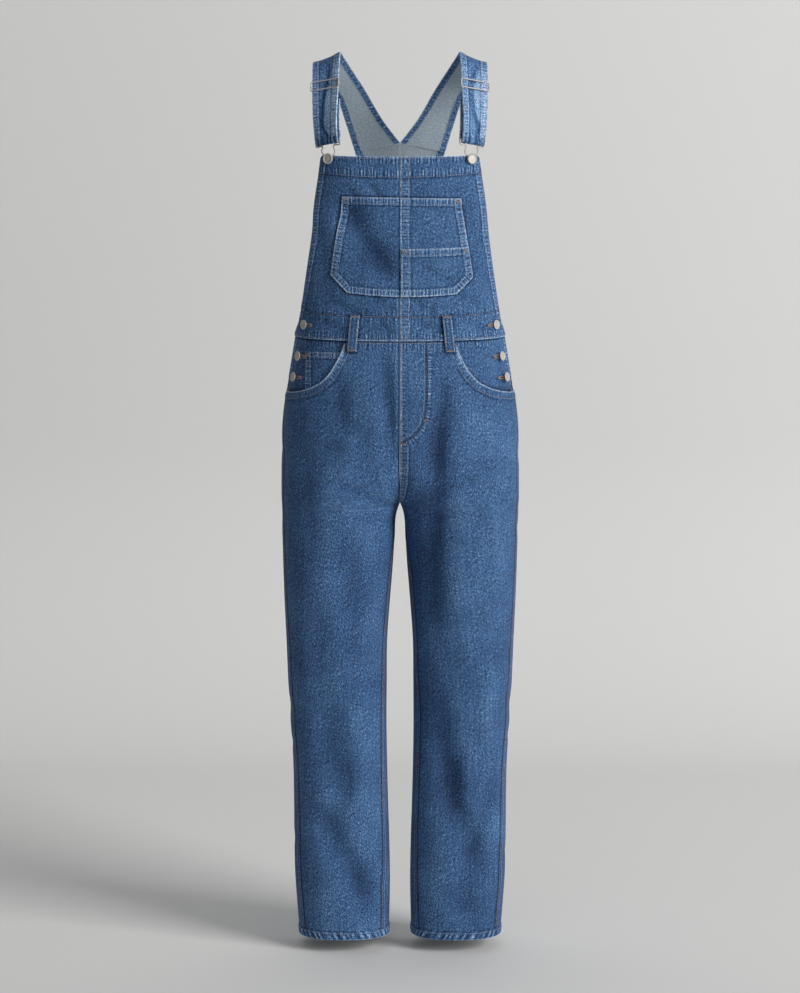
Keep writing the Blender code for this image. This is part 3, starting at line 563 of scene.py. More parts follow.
class Paint:
    # a material's node tree and its Principled shader

    def __init__(self, name, roughness, metallic=0.0):
        self.material = bpy.data.materials.new(name)
        self.material.use_nodes = True
        self.tree = self.material.node_tree
        self.shader = self.tree.nodes["Principled BSDF"]
        self.shader.inputs["Roughness"].default_value = roughness
        self.shader.inputs["Metallic"].default_value = metallic

    def add(self, kind, settings=None, output=0, **values):
        # any node: its settings first, then the values or links of its sockets
        made = self.tree.nodes.new("ShaderNode" + kind)
        for key, value in (settings or {}).items():
            if key == "stops":
                ramp = made.color_ramp
                while len(ramp.elements) < len(value):
                    ramp.elements.new(0.5)
                for element, (place, colour) in zip(ramp.elements, value):
                    element.position = place
                    element.color = (*colour, 1.0)
            else:
                setattr(made, key, value)
        for key, value in values.items():
            socket = made.inputs[key.replace("_", " ")]
            if isinstance(value, Sum):
                self.tree.links.new(value.out, socket)
            else:
                socket.default_value = value
        return Sum(self.tree, made.outputs[output])

    def mark(self, name):
        return self.add("Attribute", {"attribute_name": name}, output=2)

    def noise(self, vector, scale, detail=2.0, roughness=0.5):
        return self.add("TexNoise", Vector=vector, Scale=scale, Detail=detail, Roughness=roughness)

    def speckle(self, x, y, detail):
        # noise round zero over flat coordinates, one cell to a unit
        return self.noise(self.add("CombineXYZ", X=x, Y=y, Z=0.0), 1.0, detail) - 0.5

    def split(self, vector):
        parts = self.tree.nodes.new("ShaderNodeSeparateXYZ")
        self.tree.links.new(vector.out, parts.inputs[0])
        return [Sum(self.tree, out) for out in parts.outputs]

    def colour(self, tone, stops):
        self.give("Base Color", self.add("ValToRGB", {"stops": stops}, Fac=tone))

    def give(self, socket, value):
        if isinstance(value, Sum):
            self.tree.links.new(value.out, self.shader.inputs[socket])
        else:
            self.shader.inputs[socket].default_value = value

    def bump(self, height, strength, distance):
        self.give("Normal", self.add("Bump", Height=height, Strength=strength, Distance=distance))


def clothCoordinates(paint):
    # across and up the piece in metres, then along and across the twill's steep diagonal
    across, up = paint.split(paint.add("UVMap", {"uv_map": "cloth"}))[:2]
    slope = radians(denim["slope"])
    return across, up, across * cos(slope) - up * sin(slope), across * sin(slope) + up * cos(slope)


# Denim: the twill's slope, cells a metre of each texture along and across it, and its weight in the tone
denim = {
    "slope": 57, "slub": (235.0, 680.0), "grain": 1050.0, "twill": (60.0, 1900.0), "yarn": (330.0, 11.0),
    "tone": 0.398, "mottle": 0.32, "patch": 0.12, "streak": 1.30, "salt": 1.35, "wear": 0.46, "ladder": 0.25,
    "warp": 0.22, "rib": 0.12,
    "stops": (
        (0.00, (0.003, 0.010, 0.034)), (0.28, (0.012, 0.046, 0.134)), (0.46, (0.032, 0.104, 0.258)),
        (0.70, (0.112, 0.256, 0.486)), (1.00, (0.540, 0.660, 0.790)),
    ),
}


def makeDenim():
    # tone = base + slow mottling + diagonal slubs + grain + wear and painted shade + ripples, from indigo to worn
    # pale blue
    paint = Paint("denim", 0.88)
    across, up, along, athwart = clothCoordinates(paint)
    place = paint.add("TexCoord", output=3)
    streak = paint.speckle(along * denim["slub"][0], athwart * denim["slub"][1], 1.5)
    salt = paint.speckle(across * denim["grain"], up * denim["grain"], 1.0)
    rib = paint.speckle(along * denim["twill"][0], athwart * denim["twill"][1], 0.0)
    warp = paint.speckle(across * denim["yarn"][0], up * denim["yarn"][1], 1.0)
    mottle = paint.noise(place, 12.0, 3.0) - 0.5
    patch = paint.noise(place, 70.0, 2.0) - 0.5
    # the first mark holds real wear together with painted shade, painted shadows and painted highlights
    wear, ladder, run = (paint.mark(name) for name in ("wear", "ladder", "run"))
    turn = run * seams["turn"]
    bent = turn + (turn * (1 / 5.3)).sine() * 1.3 + (turn * (1 / 2.3) + 1.0).sine() * 0.9
    wave = ((turn * (1 / 3.7)).sine() * 0.28 + 0.72) * bent.sine() * ladder
    tone = denim["tone"] + warp * denim["warp"]
    for part, key in ((mottle, "mottle"), (patch, "patch"), (streak, "streak"), (salt, "salt"),
                      (wear, "wear"), (wave, "ladder"), (rib, "rib")):
        tone = tone + part * denim[key]
    tone = tone.clamp()
    paint.colour(tone, denim["stops"])
    paint.give("Roughness", 0.93 - tone * 0.14)
    weave = (streak * 1.1 + salt * 0.9 + rib * 0.5) * 0.00042
    paint.bump(weave + wave * 0.00030, 0.8, 1.0)
    materials["denim"] = paint.material


def makeReverse():
    # the white weft side: pale grey blue with indigo dashes on the other diagonal
    paint = Paint("denimReverse", 0.93)
    across, up, along, athwart = clothCoordinates(paint)
    streak = paint.speckle(athwart * 210.0, along * 560.0, 1.5)
    salt = paint.speckle(across * 640.0, up * 640.0, 1.0)
    mottle = paint.noise(paint.add("TexCoord", output=3), 14.0, 2.0) - 0.5
    tone = (0.54 + streak * 0.60 + salt * 1.20 + mottle * 0.30).clamp()
    paint.colour(tone, (
        (0.00, (0.085, 0.145, 0.230)), (0.35, (0.205, 0.270, 0.340)),
        (0.65, (0.360, 0.425, 0.475)), (1.00, (0.600, 0.650, 0.680)),
    ))
    paint.bump((streak * 0.8 + salt * 0.7) * 0.0004, 0.6, 1.0)
    materials["reverse"] = paint.material


def makeThread():
    # twisted thread: fine bands along it over an uneven tan grey
    for name, stops in (
        ("thread", ((0.0, (0.230, 0.215, 0.205)), (0.5, (0.430, 0.400, 0.370)), (1.0, (0.640, 0.605, 0.565)))),
        ("copper", ((0.0, (0.130, 0.075, 0.048)), (0.5, (0.285, 0.175, 0.115)), (1.0, (0.460, 0.330, 0.245)))),
    ):
        paint = Paint(name, 0.62)
        place = paint.add("TexCoord", output=3)
        tone = paint.noise(place, 240.0, 2.0)
        fibre = paint.noise(place, 2600.0, 1.0)
        mixed = (tone * 0.7 + fibre * 0.6 - 0.15).clamp()
        paint.colour(mixed, stops)
        paint.give("Roughness", 0.55 + fibre * 0.25)
        paint.bump(fibre * 0.0001, 0.6, 1.0)
        materials[name] = paint.material


def makeNickel():
    # plated metal: slightly warm, faintly scuffed
    paint = Paint("nickel", 0.26, 0.62)
    place = paint.add("TexCoord", output=3)
    scuff = paint.noise(place, 420.0, 4.0, 0.65)
    cloud = paint.noise(place, 70.0, 2.0)
    tone = (cloud * 0.6 + scuff * 0.5).clamp()
    paint.colour(tone, ((0.0, (0.400, 0.385, 0.355)), (1.0, (0.620, 0.600, 0.565))))
    paint.give("Roughness", 0.56 + scuff * 0.20)
    paint.bump(scuff * 0.00001, 0.6, 1.0)
    materials["nickel"] = paint.material


makeDenim()
makeReverse()
makeThread()
makeNickel()
print("materials ready")


steps = {"fine": 0.00117, "beyond": (0.0016, 0.0036, 0.0062, 0.0095)}


def edgeSteps(reach):
    # distances from an edge: fine steps as far as the stitched strip reaches, then wider ones
    return np.concatenate([np.arange(0.0, reach, steps["fine"]), reach + np.array(steps["beyond"])])


def between(start, end, part):
    return start + (end - start) * part


def spread(start, end, step):
    return np.linspace(start, end, max(2, int(round(abs(end - start) / step)) + 1))


# Outline of the bib's patch pockets: height, -X edge, +X edge of the large one
pocket = {
    "outline": ((-0.2205, -0.0896, 0.0943), (-0.3423, -0.1085, 0.1132), (-0.3683, -0.0821, 0.0883)),
    "lean": 0.017, "sag": 0.0055, "smallTop": -0.2965, "smallStart": 0.0015, "band": 0.0105,
    "lift": 0.0017, "centre": 0.0130, "topBand": 0.0110, "step": 0.0016,
}


# Bib, front halves
bib = {
    "edge": (
        (-0.155, 0.1226), (-0.180, 0.1260), (-0.227, 0.1333), (-0.290, 0.1398), (-0.353, 0.1487),
        (-0.385, 0.1536), (-0.404, 0.1570), (-0.4165, 0.1592), (-0.430, 0.1640), (-0.443, 0.1660),
    ),
    "centreBand": 0.0135, "sideBand": 0.0112, "topBand": 0.0324, "topBandRise": 0.0045,
    "topRow": 0.0030, "hemRow": 0.0012, "topTurned": 0.030,
    "waistRow": -0.4053, "waistRowRise": 0.0058, "bottomBand": 0.0085, "bottomRow": 0.0032,
    "rowStep": 0.0015, "corner": 0.0060, "hemWall": 0.0008,
}


# Belt loops: x and height of the upper end, x and height of the lower end
loops = {"right": (-0.0696, -0.4020, -0.0748, -0.4600), "left": (0.0723, -0.4025, 0.0783, -0.4615)}
loop = {"width": 0.0138, "arch": 0.0016, "wall": 0.0018, "under": 0.0017, "row": 0.0020}


def waistHeight(share):
    return garment["waist"] + garment["waistRise"] * share**2


bibHeights = np.linspace(-0.150, -0.450, 200)
bibEdges = shareAt(bibHeights, curveValue(bib["edge"], 1, bibHeights))


def bibEdge(height):
    # the share at which the bib's side edge lies
    return np.interp(-height, -bibHeights, bibEdges)


def bibSpan(height):
    # metres of cloth from the middle to the side edge
    return bibEdge(height) * lengthAt(height, False)


def bibTopHeight(part, toSide):
    # the bib's top edge: a little higher at the sides, rounded off at its corner
    corner = bib["corner"]
    off = np.clip(corner - toSide, 0, corner)
    return garment["bibTop"] + garment["waistRise"] * part**2 - (corner - np.sqrt(corner**2 - off**2 + 1e-12))


def pocketDrop(x, level):
    # the pocket leans down to +X and its lower edge sags in the middle
    top, bottom, edge = pocket["outline"][0][0], pocket["outline"][2][0], pocket["outline"][2][2]
    sag = pocket["sag"] * smooth((top - level) / (top - bottom)) * (1 - np.clip(x / edge, -1, 1) ** 2)
    return pocket["lean"] * x + sag


def pocketShade(x, height):
    # a painted shadow: a dark line on the bib just outside the pocket's outline
    (t, a0, b0), (m, a1, b1), (f, a2, b2) = pocket["outline"]
    border = ((b0, t), (b1, m), (b2, f), (a2, f), (a1, m), (a0, t), (b0, t))
    away = lineDistance(x, height + pocketDrop(x, height), border)[0]
    return -0.80 * hump(np.abs(away) - 0.0006, 0.0018)


def loopShade(x, height):
    # a painted shadow: a soft dark line on the cloth round each belt loop
    shade = 0.0
    for xTop, zTop, xEnd, zEnd in loops.values():
        down = (height - zTop) / (zEnd - zTop)
        aside = np.abs(x - xTop - (xEnd - xTop) * down) - loop["width"] / 2
        beside = smooth((down + 0.06) / 0.05) * smooth((1.06 - down) / 0.05)
        under = hump(height - zEnd + 0.0012, 0.0016) * smooth(-aside / 0.001 + 0.5)
        shade = shade - 0.85 * hump(aside - 0.0006, 0.0018) * beside - 0.8 * under
    return shade


def bibSurface(sign, height, part):
    # the drape, raised by side hem, centre seam, top hem and turned lower edge, rippled along the waist rows;
    # part runs from the middle (0) to the side edge (1)
    edge = bibEdge(height)
    share = edge * part
    point, normal, shade = drape(height, share, False, sign)
    length = lengthAt(height, False)
    toSide = (edge - share) * length
    fromMiddle = share * length
    toTop = bibTopHeight(part, toSide) - height
    toBottom = height - waistHeight(part)
    across = sign * fromMiddle
    waistRow = bib["waistRow"] + bib["waistRowRise"] * part**2
    seed = 1.0 + sign
    relief = Relief(height, part)
    # painted shade of the creases, then painted shadows round the pocket and the belt loops
    relief.add(0.0, shade)
    relief.add(0.0, pocketShade(point[..., 0], height) + loopShade(point[..., 0], height))
    relief.band(toSide, height, bib["sideBand"], seed + 0.01, strength=0.8)
    # the centre seam: its fold is pale, with a painted shadow line where the two halves meet
    if sign > 0:
        relief.band(fromMiddle - seams["fold"], height, bib["centreBand"], 0.4, strength=0.65)
        relief.add(0.0, 0.8 * hump(fromMiddle - 0.0016, 0.0009) - 0.9 * hump(fromMiddle, 0.0007))
    else:
        relief.add(-0.0006 * hump(fromMiddle, 0.0020))
        relief.add(0.0, 0.2 * hump(fromMiddle - 0.004, 0.0016) - hump(fromMiddle, 0.0017))
    band = bib["topBand"] - bib["topBandRise"] * part**2
    strongest = 0.55 + 0.45 * hump(across, 0.07)
    # the top band stands proud, with a painted shadow line under its lower edge
    relief.add(0.0005 * smooth((band - toTop) / 0.0016 + 0.5), -0.4 * hump(toTop - band - 0.0010, 0.0012))
    relief.row(band - bib["hemRow"] - toTop, across, 0.7 + seed, 0.0062, 0.0048, 0.00050, strength=1.3)
    relief.row(toTop - bib["topRow"], across, 0.9 + seed, 0.0046, 0.0026, 0.00045, strength=1.4 * strongest)
    relief.add(0.0, 1.1 * hump(toTop, 0.0015))
    relief.row(waistRow - height, across, 0.3 + seed, 0.0075, 0.0060, 0.00050, strength=0.60)
    relief.row(height - waistRow, 0.8 * across, 0.8 + seed, 0.0065, 0.0050, 0.00050, strength=0.55)
    pale = (0.95 + 0.25 * ripple(0.35 * across)) * hump(toBottom, 0.0017)
    relief.add(0.0011 * smooth((bib["bottomBand"] - toBottom) / 0.005), pale)
    relief.row(toBottom - bib["bottomRow"], across, 0.5 + seed, 0.0062, 0.0040, 0.00045, strength=0.95)
    return relief.onto(point, normal)


def makeBib(side, sign):
    # half a bib: its shell, finely divided at the centre seam, the hems and the waist, and its stitch rows
    length = float(bibSpan(np.array(-0.3)))
    near = edgeSteps(bib["centreBand"] + 0.002)
    far = edgeSteps(bib["sideBand"] + 0.001)
    middle = spread(near[-1], length - far[-1], 0.0036)[1:-1]
    part = np.concatenate([near, middle, length - far[::-1]]) / length
    down = spread(0.0, 1.0, bib["rowStep"] / 0.285)
    topEdge = bibTopHeight(part, (1 - part) * length)
    bottomEdge = waistHeight(part) + garment["seamGap"] / 2
    height = topEdge[None] + (bottomEdge - topEdge)[None] * down[:, None]
    part = np.broadcast_to(part, height.shape)
    face, normal, relief, base = bibSurface(sign, height, part)
    span = bibSpan(height)
    toSide = (1 - part) * span
    toTop = topEdge[None] - height
    hemmed = np.maximum(smooth((bib["sideBand"] - toSide) / 0.001), smooth((bib["topTurned"] - toTop) / 0.001))
    reverse = base - normal * (garment["wall"] + bib["hemWall"] * hemmed)[..., None]
    uv = np.stack([sign * part * span + 0.02, height], -1)
    turned = (toSide[:-1, 1:] < bib["sideBand"]) | (toTop[:-1, :-1] < bib["topTurned"])
    piece = makeShell("bib_" + side, face, reverse, uv, relief, ["bib_front_" + side], turned)
    runs = np.linspace(0, 1, 400)
    rows = Rows(lambda height, part: bibSurface(sign, height, part))
    spine = garment["bibTop"] - 0.003 + (waistHeight(0.0) + 0.004 - garment["bibTop"]) * runs
    for inset in rowInsets(bib["sideBand"]):
        rows.add(spine, 1 - inset / bibSpan(spine))
    if sign > 0:
        for inset in rowInsets(bib["centreBand"], seams["fold"]):
            rows.add(spine, inset / bibSpan(spine))
    across = 0.004 + 0.98 * runs
    band = bib["topBand"] - bib["topBandRise"] * across**2
    top = garment["bibTop"] + garment["waistRise"] * across**2
    waistRow = bib["waistRow"] + bib["waistRowRise"] * across**2
    bottomRow = waistHeight(across) + bib["bottomRow"]
    for height in (top - bib["topRow"], top - band + bib["hemRow"], waistRow, bottomRow):
        rows.add(height, across)
    sewn = sewing("stitching_bib_" + side, rows.made)


for side, sign in sides:
    makeBib(side, sign)
print("bib ready")


# Back panel halves, from the straps' V to the waist
backBib = {
    "edge": (
        (-0.1537, 0.0721), (-0.180, 0.0645), (-0.210, 0.0605), (-0.240, 0.0630), (-0.275, 0.0730),
        (-0.310, 0.0890), (-0.345, 0.1090), (-0.380, 0.1310), (-0.405, 0.1470), (-0.425, 0.1590),
        (-0.443, 0.1660),
    ),
    "peak": -0.1394, "corner": -0.1537, "band": 0.0112, "centreBand": 0.0125, "topBand": 0.0180,
}
backHeights = np.linspace(-0.130, -0.450, 220)
backEdges = shareAt(backHeights, curveValue(backBib["edge"], 1, backHeights), True)


def backEdge(height):
    return np.interp(-height, -backHeights, backEdges)


def backTop(part):
    # the straight edge from the straps' V down to the armhole
    return backBib["peak"] + (backBib["corner"] - backBib["peak"]) * part


def backLean(height, reach=0.004):
    # how much longer the way across is than the way square to the armhole's edge
    slant = curveValue(backBib["edge"], 1, height - reach) - curveValue(backBib["edge"], 1, height + reach)
    return np.sqrt(1 + (slant / (2 * reach)) ** 2)


def backSurface(sign, height, part):
    # the drape, raised by armhole hem, centre seam, the straps' seam and turned lower edge
    edge = backEdge(height)
    share = edge * part
    point, normal, shade = drape(height, share, True, sign)
    length = lengthAt(height, True)
    toSide, fromMiddle = (edge - share) * length / backLean(height), share * length
    toTop = backTop(part) - height
    toBottom = height - waistHeight(part)
    across = sign * fromMiddle
    seed = 3.0 + sign
    relief = Relief(height, part)
    # painted shade of the creases
    relief.add(0.0, shade)
    relief.band(toSide, height + 0.6 * share, backBib["band"], seed)
    relief.add(0.0, 0.7 * hump(toSide, 0.0010))
    # the centre seam: a pale fold, with a painted shadow line where the halves meet
    if sign > 0:
        relief.band(fromMiddle - seams["fold"], height, backBib["centreBand"], 0.4)
        relief.add(0.0, 0.7 * hump(fromMiddle - 0.0016, 0.0009))
    else:
        relief.add(-0.0006 * hump(fromMiddle, 0.0020), -0.9 * hump(fromMiddle, 0.0017))
    relief.band(toTop, across, backBib["topBand"], seed + 0.6, 0.0005)
    relief.add(0.0011 * smooth((bib["bottomBand"] - toBottom) / 0.005), 1.3 * hump(toBottom, 0.0017))
    relief.row(toBottom - bib["bottomRow"], across, seed + 0.4, 0.0048, 0.0030)
    waistRow = bib["waistRow"] + bib["waistRowRise"] * part**2
    relief.row(waistRow - height, across, seed + 0.2, 0.0055, 0.0045, strength=0.55)
    return relief.onto(point, normal)


def makeBackBib(side, sign):
    # half a back bib; its top hem is sewn through, so its rows show on both faces
    middle = 0.110
    near = edgeSteps(backBib["centreBand"] + 0.002) / middle
    far = np.concatenate([np.linspace(0, 0.13, 14), [0.15, 0.175, 0.205]])
    part = np.concatenate([near, spread(near[-1], 1 - far[-1], 0.034)[1:-1], 1 - far[::-1]])
    down = spread(0.0, 1.0, 0.0022 / 0.300)
    topEdge = backTop(part)
    height = topEdge[None] + (waistHeight(part) + garment["seamGap"] / 2 - topEdge)[None] * down[:, None]
    part = np.broadcast_to(part, height.shape)
    face, normal, relief, base = backSurface(sign, height, part)
    span = backEdge(height) * lengthAt(height, True)
    toSide = (1 - part) * span
    hemmed = smooth((backBib["band"] - toSide) / 0.001)
    reverse = base - normal * (garment["wall"] + bib["hemWall"] * hemmed)[..., None]
    uv = np.stack([-sign * part * span + 0.9, height], -1)
    turned = toSide[:-1, 1:] < backBib["band"]
    piece = makeShell("back_panel_" + side, face, reverse, uv, relief, ["back_bib_" + side], turned)
    runs = np.linspace(0, 1, 400)
    rows = Rows(lambda height, part: backSurface(sign, height, np.clip(part, 0, 1)))
    spine = -0.1555 + (waistHeight(1.0) + 0.012 + 0.1555) * runs
    span = backEdge(spine) * lengthAt(spine, True)
    for inset in rowInsets(backBib["band"]):
        rows.add(spine, 1 - inset * backLean(spine) / span)
    if sign > 0:
        spine = backBib["peak"] - 0.002 + (waistHeight(0.0) + 0.002 - backBib["peak"]) * runs
        span = backEdge(spine) * lengthAt(spine, True)
        for inset in rowInsets(backBib["centreBand"], seams["fold"]):
            rows.add(spine, inset / span)
    across = 0.005 + 0.985 * runs
    for inset in rowInsets(backBib["topBand"]):
        rows.add(backTop(across) - inset, across)
        found = backSurface(sign, backTop(across) - inset, across)
        rows.made.append(stitchRow(found[3] - found[1] * (garment["wall"] + 0.0003), -found[1]))
    rows.add(bib["waistRow"] + bib["waistRowRise"] * across**2, across)
    rows.add(waistHeight(across) + bib["bottomRow"], across)
    sewn = sewing("stitching_back_panel_" + side, rows.made)


for side, sign in sides:
    makeBackBib(side, sign)
print("back panel ready")


# Legs
legs = {
    "opening": (
        (0.0849, -0.4433), (0.0920, -0.4620), (0.0982, -0.4744), (0.1085, -0.4920), (0.1203, -0.5056),
        (0.1370, -0.5165), (0.1559, -0.5234), (0.1700, -0.5268), (0.1795, -0.5280),
    ),
    "openingBand": 0.0125, "sideBand": 0.0104, "inseamBand": 0.0100, "hemBand": 0.0112, "centreBand": 0.0125,
    "tuck": 0.0040, "tuckDrop": 0.0023, "flyEnd": -0.6070, "flyRow": 0.0034,
    "outSeam": (0.033, -0.535, 0.13), "inSeam": (0.034, -0.712, 0.10),
    "flyOuter": ((0.0432, -0.440), (0.0430, -0.5450), (0.0405, -0.5640), (0.0345, -0.5790), (0.0250, -0.5905),
                 (0.0130, -0.5985), (0.0000, -0.6035)),
    "flyInner": ((0.0374, -0.440), (0.0372, -0.5430), (0.0352, -0.5590), (0.0298, -0.5725), (0.0213, -0.5835),
                 (0.0105, -0.5915), (0.0000, -0.5965)),
    "rowStep": 0.0029, "plainStep": 0.0040, "plainFrom": -0.7200, "kept": 0.0540,
}
openingShares = np.array([float(shareAt(z, x)) for x, z in legs["opening"][:-1]] + [1.0])
openingTable = tuple(zip(openingShares.tolist(), (z for x, z in legs["opening"])))
openingStart = float(openingShares[0])


def openingHeight(share):
    # the waist seam, then the curve of the hip pocket's opening
    return np.where(share <= openingStart, waistHeight(share), curveValue(openingTable, 1, share))


openingRun = tuple((share * float(lengthAt(np.array(z), False)), z) for share, z in openingTable)


def smoothLine(line, count):
    # a rounded line through points, read at even steps
    points = np.array(line)
    run = pathRun(points)
    spots = np.linspace(0, run[-1], count)
    table = tuple(zip(run.tolist(), points[:, 0].tolist(), points[:, 1].tolist()))
    return curveValue(table, 1, spots), curveValue(table, 2, spots)


openingCurve = tuple(zip(*(values.tolist() for values in smoothLine(openingRun, 26))))


def openingLean(share, reach=0.004, halfGirth=0.235):
    # cosine of the opening's slope
    rise = (openingHeight(share + reach) - openingHeight(share - reach)) / (2 * reach * halfGirth)
    return np.where(share <= openingStart, 1.0, 1 / np.sqrt(1 + rise**2))


def seamAt(seam, height):
    # a felled leg seam swings forward below the hip: distance of its outer edge from the form's own seam
    away, start, over = legs[seam]
    return away * smooth((start - height) / over)


def legHem(relief, toHem, across, seed, sign):
    # a thick turned hem, its ripples slanting the other way on each leg
    slant = -0.6 * sign
    relief.band(toHem, across, legs["hemBand"], seed + 0.1, 0.0012, 0.0004, 1.0, slant, 0.48, 1.4, 0.3)
    relief.add(0.0, 0.5 * hump(toHem, 0.0012))


def legFrontSurface(sign, height, share):
    # the drape, raised by felled leg seams, fly, centre seam, pocket opening and hem, sunk at the waist
    point, normal, shade = drape(height, share, False, sign)
    length = lengthAt(height, False)
    toInseam, toSide = share * length, (1 - share) * length
    toTop = (openingHeight(share) - height) * openingLean(share)
    toHem = height - garment["hem"]
    across = sign * toInseam
    seed = 5.0 + sign
    waist = smooth((openingStart - share) / 0.01 + 0.5)
    below = smooth((garment["crotch"] - height) / 0.010 + 0.5)
    above = 1 - below
    free = smooth((toHem - 0.011) / 0.001)
    relief = Relief(height, share)
    # painted shade of the creases and painted shadows round the belt loops
    relief.add(0.0, shade + loopShade(point[..., 0], height))
    outward = smooth((-0.530 - height) / 0.006) * free
    # each felled leg seam: a pale line inside it and a painted shadow along its folded edge
    for away, width, first, shown in (
        (toSide - seamAt("outSeam", height), legs["sideBand"], seed, outward),
        (toInseam - seamAt("inSeam", height), legs["inseamBand"], seed + 0.3, below * free),
    ):
        relief.band(away, height, width, first, 0.0009, 0.0, shown, scale=1.2, strength=0.45, worn=-0.6)
        relief.add(0.0, (0.45 * hump(away - 0.0035, 0.0012) - 0.8 * hump(away, 0.0013)) * shown)
    if sign > 0:
        outside, run = lineDistance(across, height, legs["flyOuter"])
        rows = hump(outside, seams["needle"]) + hump(outside + 0.0058, seams["needle"])
        relief.add((0.0008 * smooth(-outside / 0.002 + 0.5) - seams["press"] * rows) * above)
        # painted shade in the fly's stitch grooves and a painted shadow beside its raised edge
        relief.add(0.0, (-seams["groove"] * rows - 0.45 * hump(outside - 0.0024, 0.0016)) * above)
        relief.waves(1.1 * hump(outside + 0.0029, 0.0042) * above, run + 0.9, 0.00040)
        relief.add(0.0, 0.20 * hump(outside + 0.0030, 0.0030) * above)
        lower = smooth((-0.605 - height) / 0.006)
        relief.band(toInseam - seams["fold"], height, legs["centreBand"], 0.31, 0.0005, mask=lower * above,
                    strength=0.7)
        relief.add(0.0005 * smooth((0.004 - toInseam) / 0.002) * above)
        # the centre seam's pale fold, with a painted shadow line where the halves meet
        relief.add(0.0, (0.9 * hump(toInseam - 0.0015, 0.0009) - 0.9 * hump(toInseam, 0.0007)) * above)
        relief.row(toInseam - legs["flyRow"], height, 0.77, 0.0030, 0.0020, mask=above * (1 - lower),
                   strength=0.7)
    else:
        relief.add(-0.0007 * hump(toInseam, 0.0022) * above)
        # a painted shadow line where the other half's fold lies over the centre seam
        relief.add(0.0, (0.25 * hump(toInseam - 0.005, 0.002) - hump(toInseam, 0.0019)) * above)
    bare = 1 - waist
    away, run = lineDistance(toInseam, height, openingCurve)
    away = np.where(toTop < 0.045, np.abs(away), 0.9)
    relief.band(away, run, legs["openingBand"], seed + 0.2, 0.0007, 0.0, bare, strength=0.50, worn=0.2)
    relief.add(0.0005 * hump(toTop, 0.002) * bare, 1.15 * hump(toTop * openingLean(share), 0.0016) * bare)
    relief.row(toTop - 0.0010, across, seed, 0.0080, 0.0055, 0.0004, waist, 0.85)
    relief.tuck(toTop, legs["tuckDrop"], waist)
    legHem(relief, toHem, across, seed, sign)
    return relief.onto(point, normal)


def legBackSurface(sign, height, share):
    # the drape, raised by the centre seam and the hem, sunk at the waist
    point, normal, shade = drape(height, share, True, sign)
    length = lengthAt(height, True)
    toInseam = share * length
    toTop = waistHeight(share) - height
    toHem = height - garment["hem"]
    across = sign * toInseam
    seed = 8.0 + sign
    above = 1 - smooth((garment["crotch"] - height) / 0.010 + 0.5)
    relief = Relief(height, share)
    # painted shade of the creases
    relief.add(0.0, shade)
    # the centre seam: a pale fold on the +X half, a painted shadow line on the other
    if sign > 0:
        relief.band(toInseam - seams["fold"], height, legs["centreBand"], 0.37, mask=above)
        relief.add(0.0, 0.8 * hump(toInseam - 0.0015, 0.0009) * above)
    else:
        relief.add(-0.0007 * hump(toInseam, 0.0022) * above, -hump(toInseam, 0.0019) * above)
    relief.row(toTop - 0.0010, across, seed, 0.0065, 0.0040, 0.0002, 1.0, 0.9)
    relief.tuck(toTop, legs["tuckDrop"])
    legHem(relief, toHem, across, seed, sign)
    return relief.onto(point, normal)


def legGrid(topHeight, columns, fromInseam, fromSide, back):
    # rows follow the upper edge, then level out; columns near a seam keep their distance from it
    start = np.array([
        0.0, 0.0010, 0.0022, 0.0034, 0.0048, 0.0064, 0.0080, 0.0096, 0.0110, 0.0122, 0.0138, 0.0165, 0.0195,
    ])
    rest = spread(0.0, 1.0, 1 / 34)[1:-1, None]
    upper = topHeight[None] - start[:, None]
    upper = np.concatenate([upper, upper[-1:] + (garment["blendEnd"] - upper[-1:]) * rest])
    end = garment["hem"] + edgeSteps(legs["hemBand"] + 0.001)[::-1]
    thigh = spread(garment["blendEnd"], legs["plainFrom"], legs["rowStep"])[:-1]
    level = np.concatenate([thigh, spread(legs["plainFrom"], end[0], legs["plainStep"])[:-1], end])
    height = np.concatenate([upper, np.broadcast_to(level[:, None], (len(level), len(columns)))])
    length = lengthAt(np.minimum(height, garment["blendEnd"]), back)
    low, high = legs["kept"] / length, 1 - legs["kept"] / length
    middle = low + (high - low) * (fromInseam - legs["kept"]) / (fromInseam + fromSide - 2 * legs["kept"])
    share = np.where(fromInseam <= legs["kept"], fromInseam / length, middle)
    return height, np.where(fromSide <= legs["kept"], 1 - fromSide / length, share)


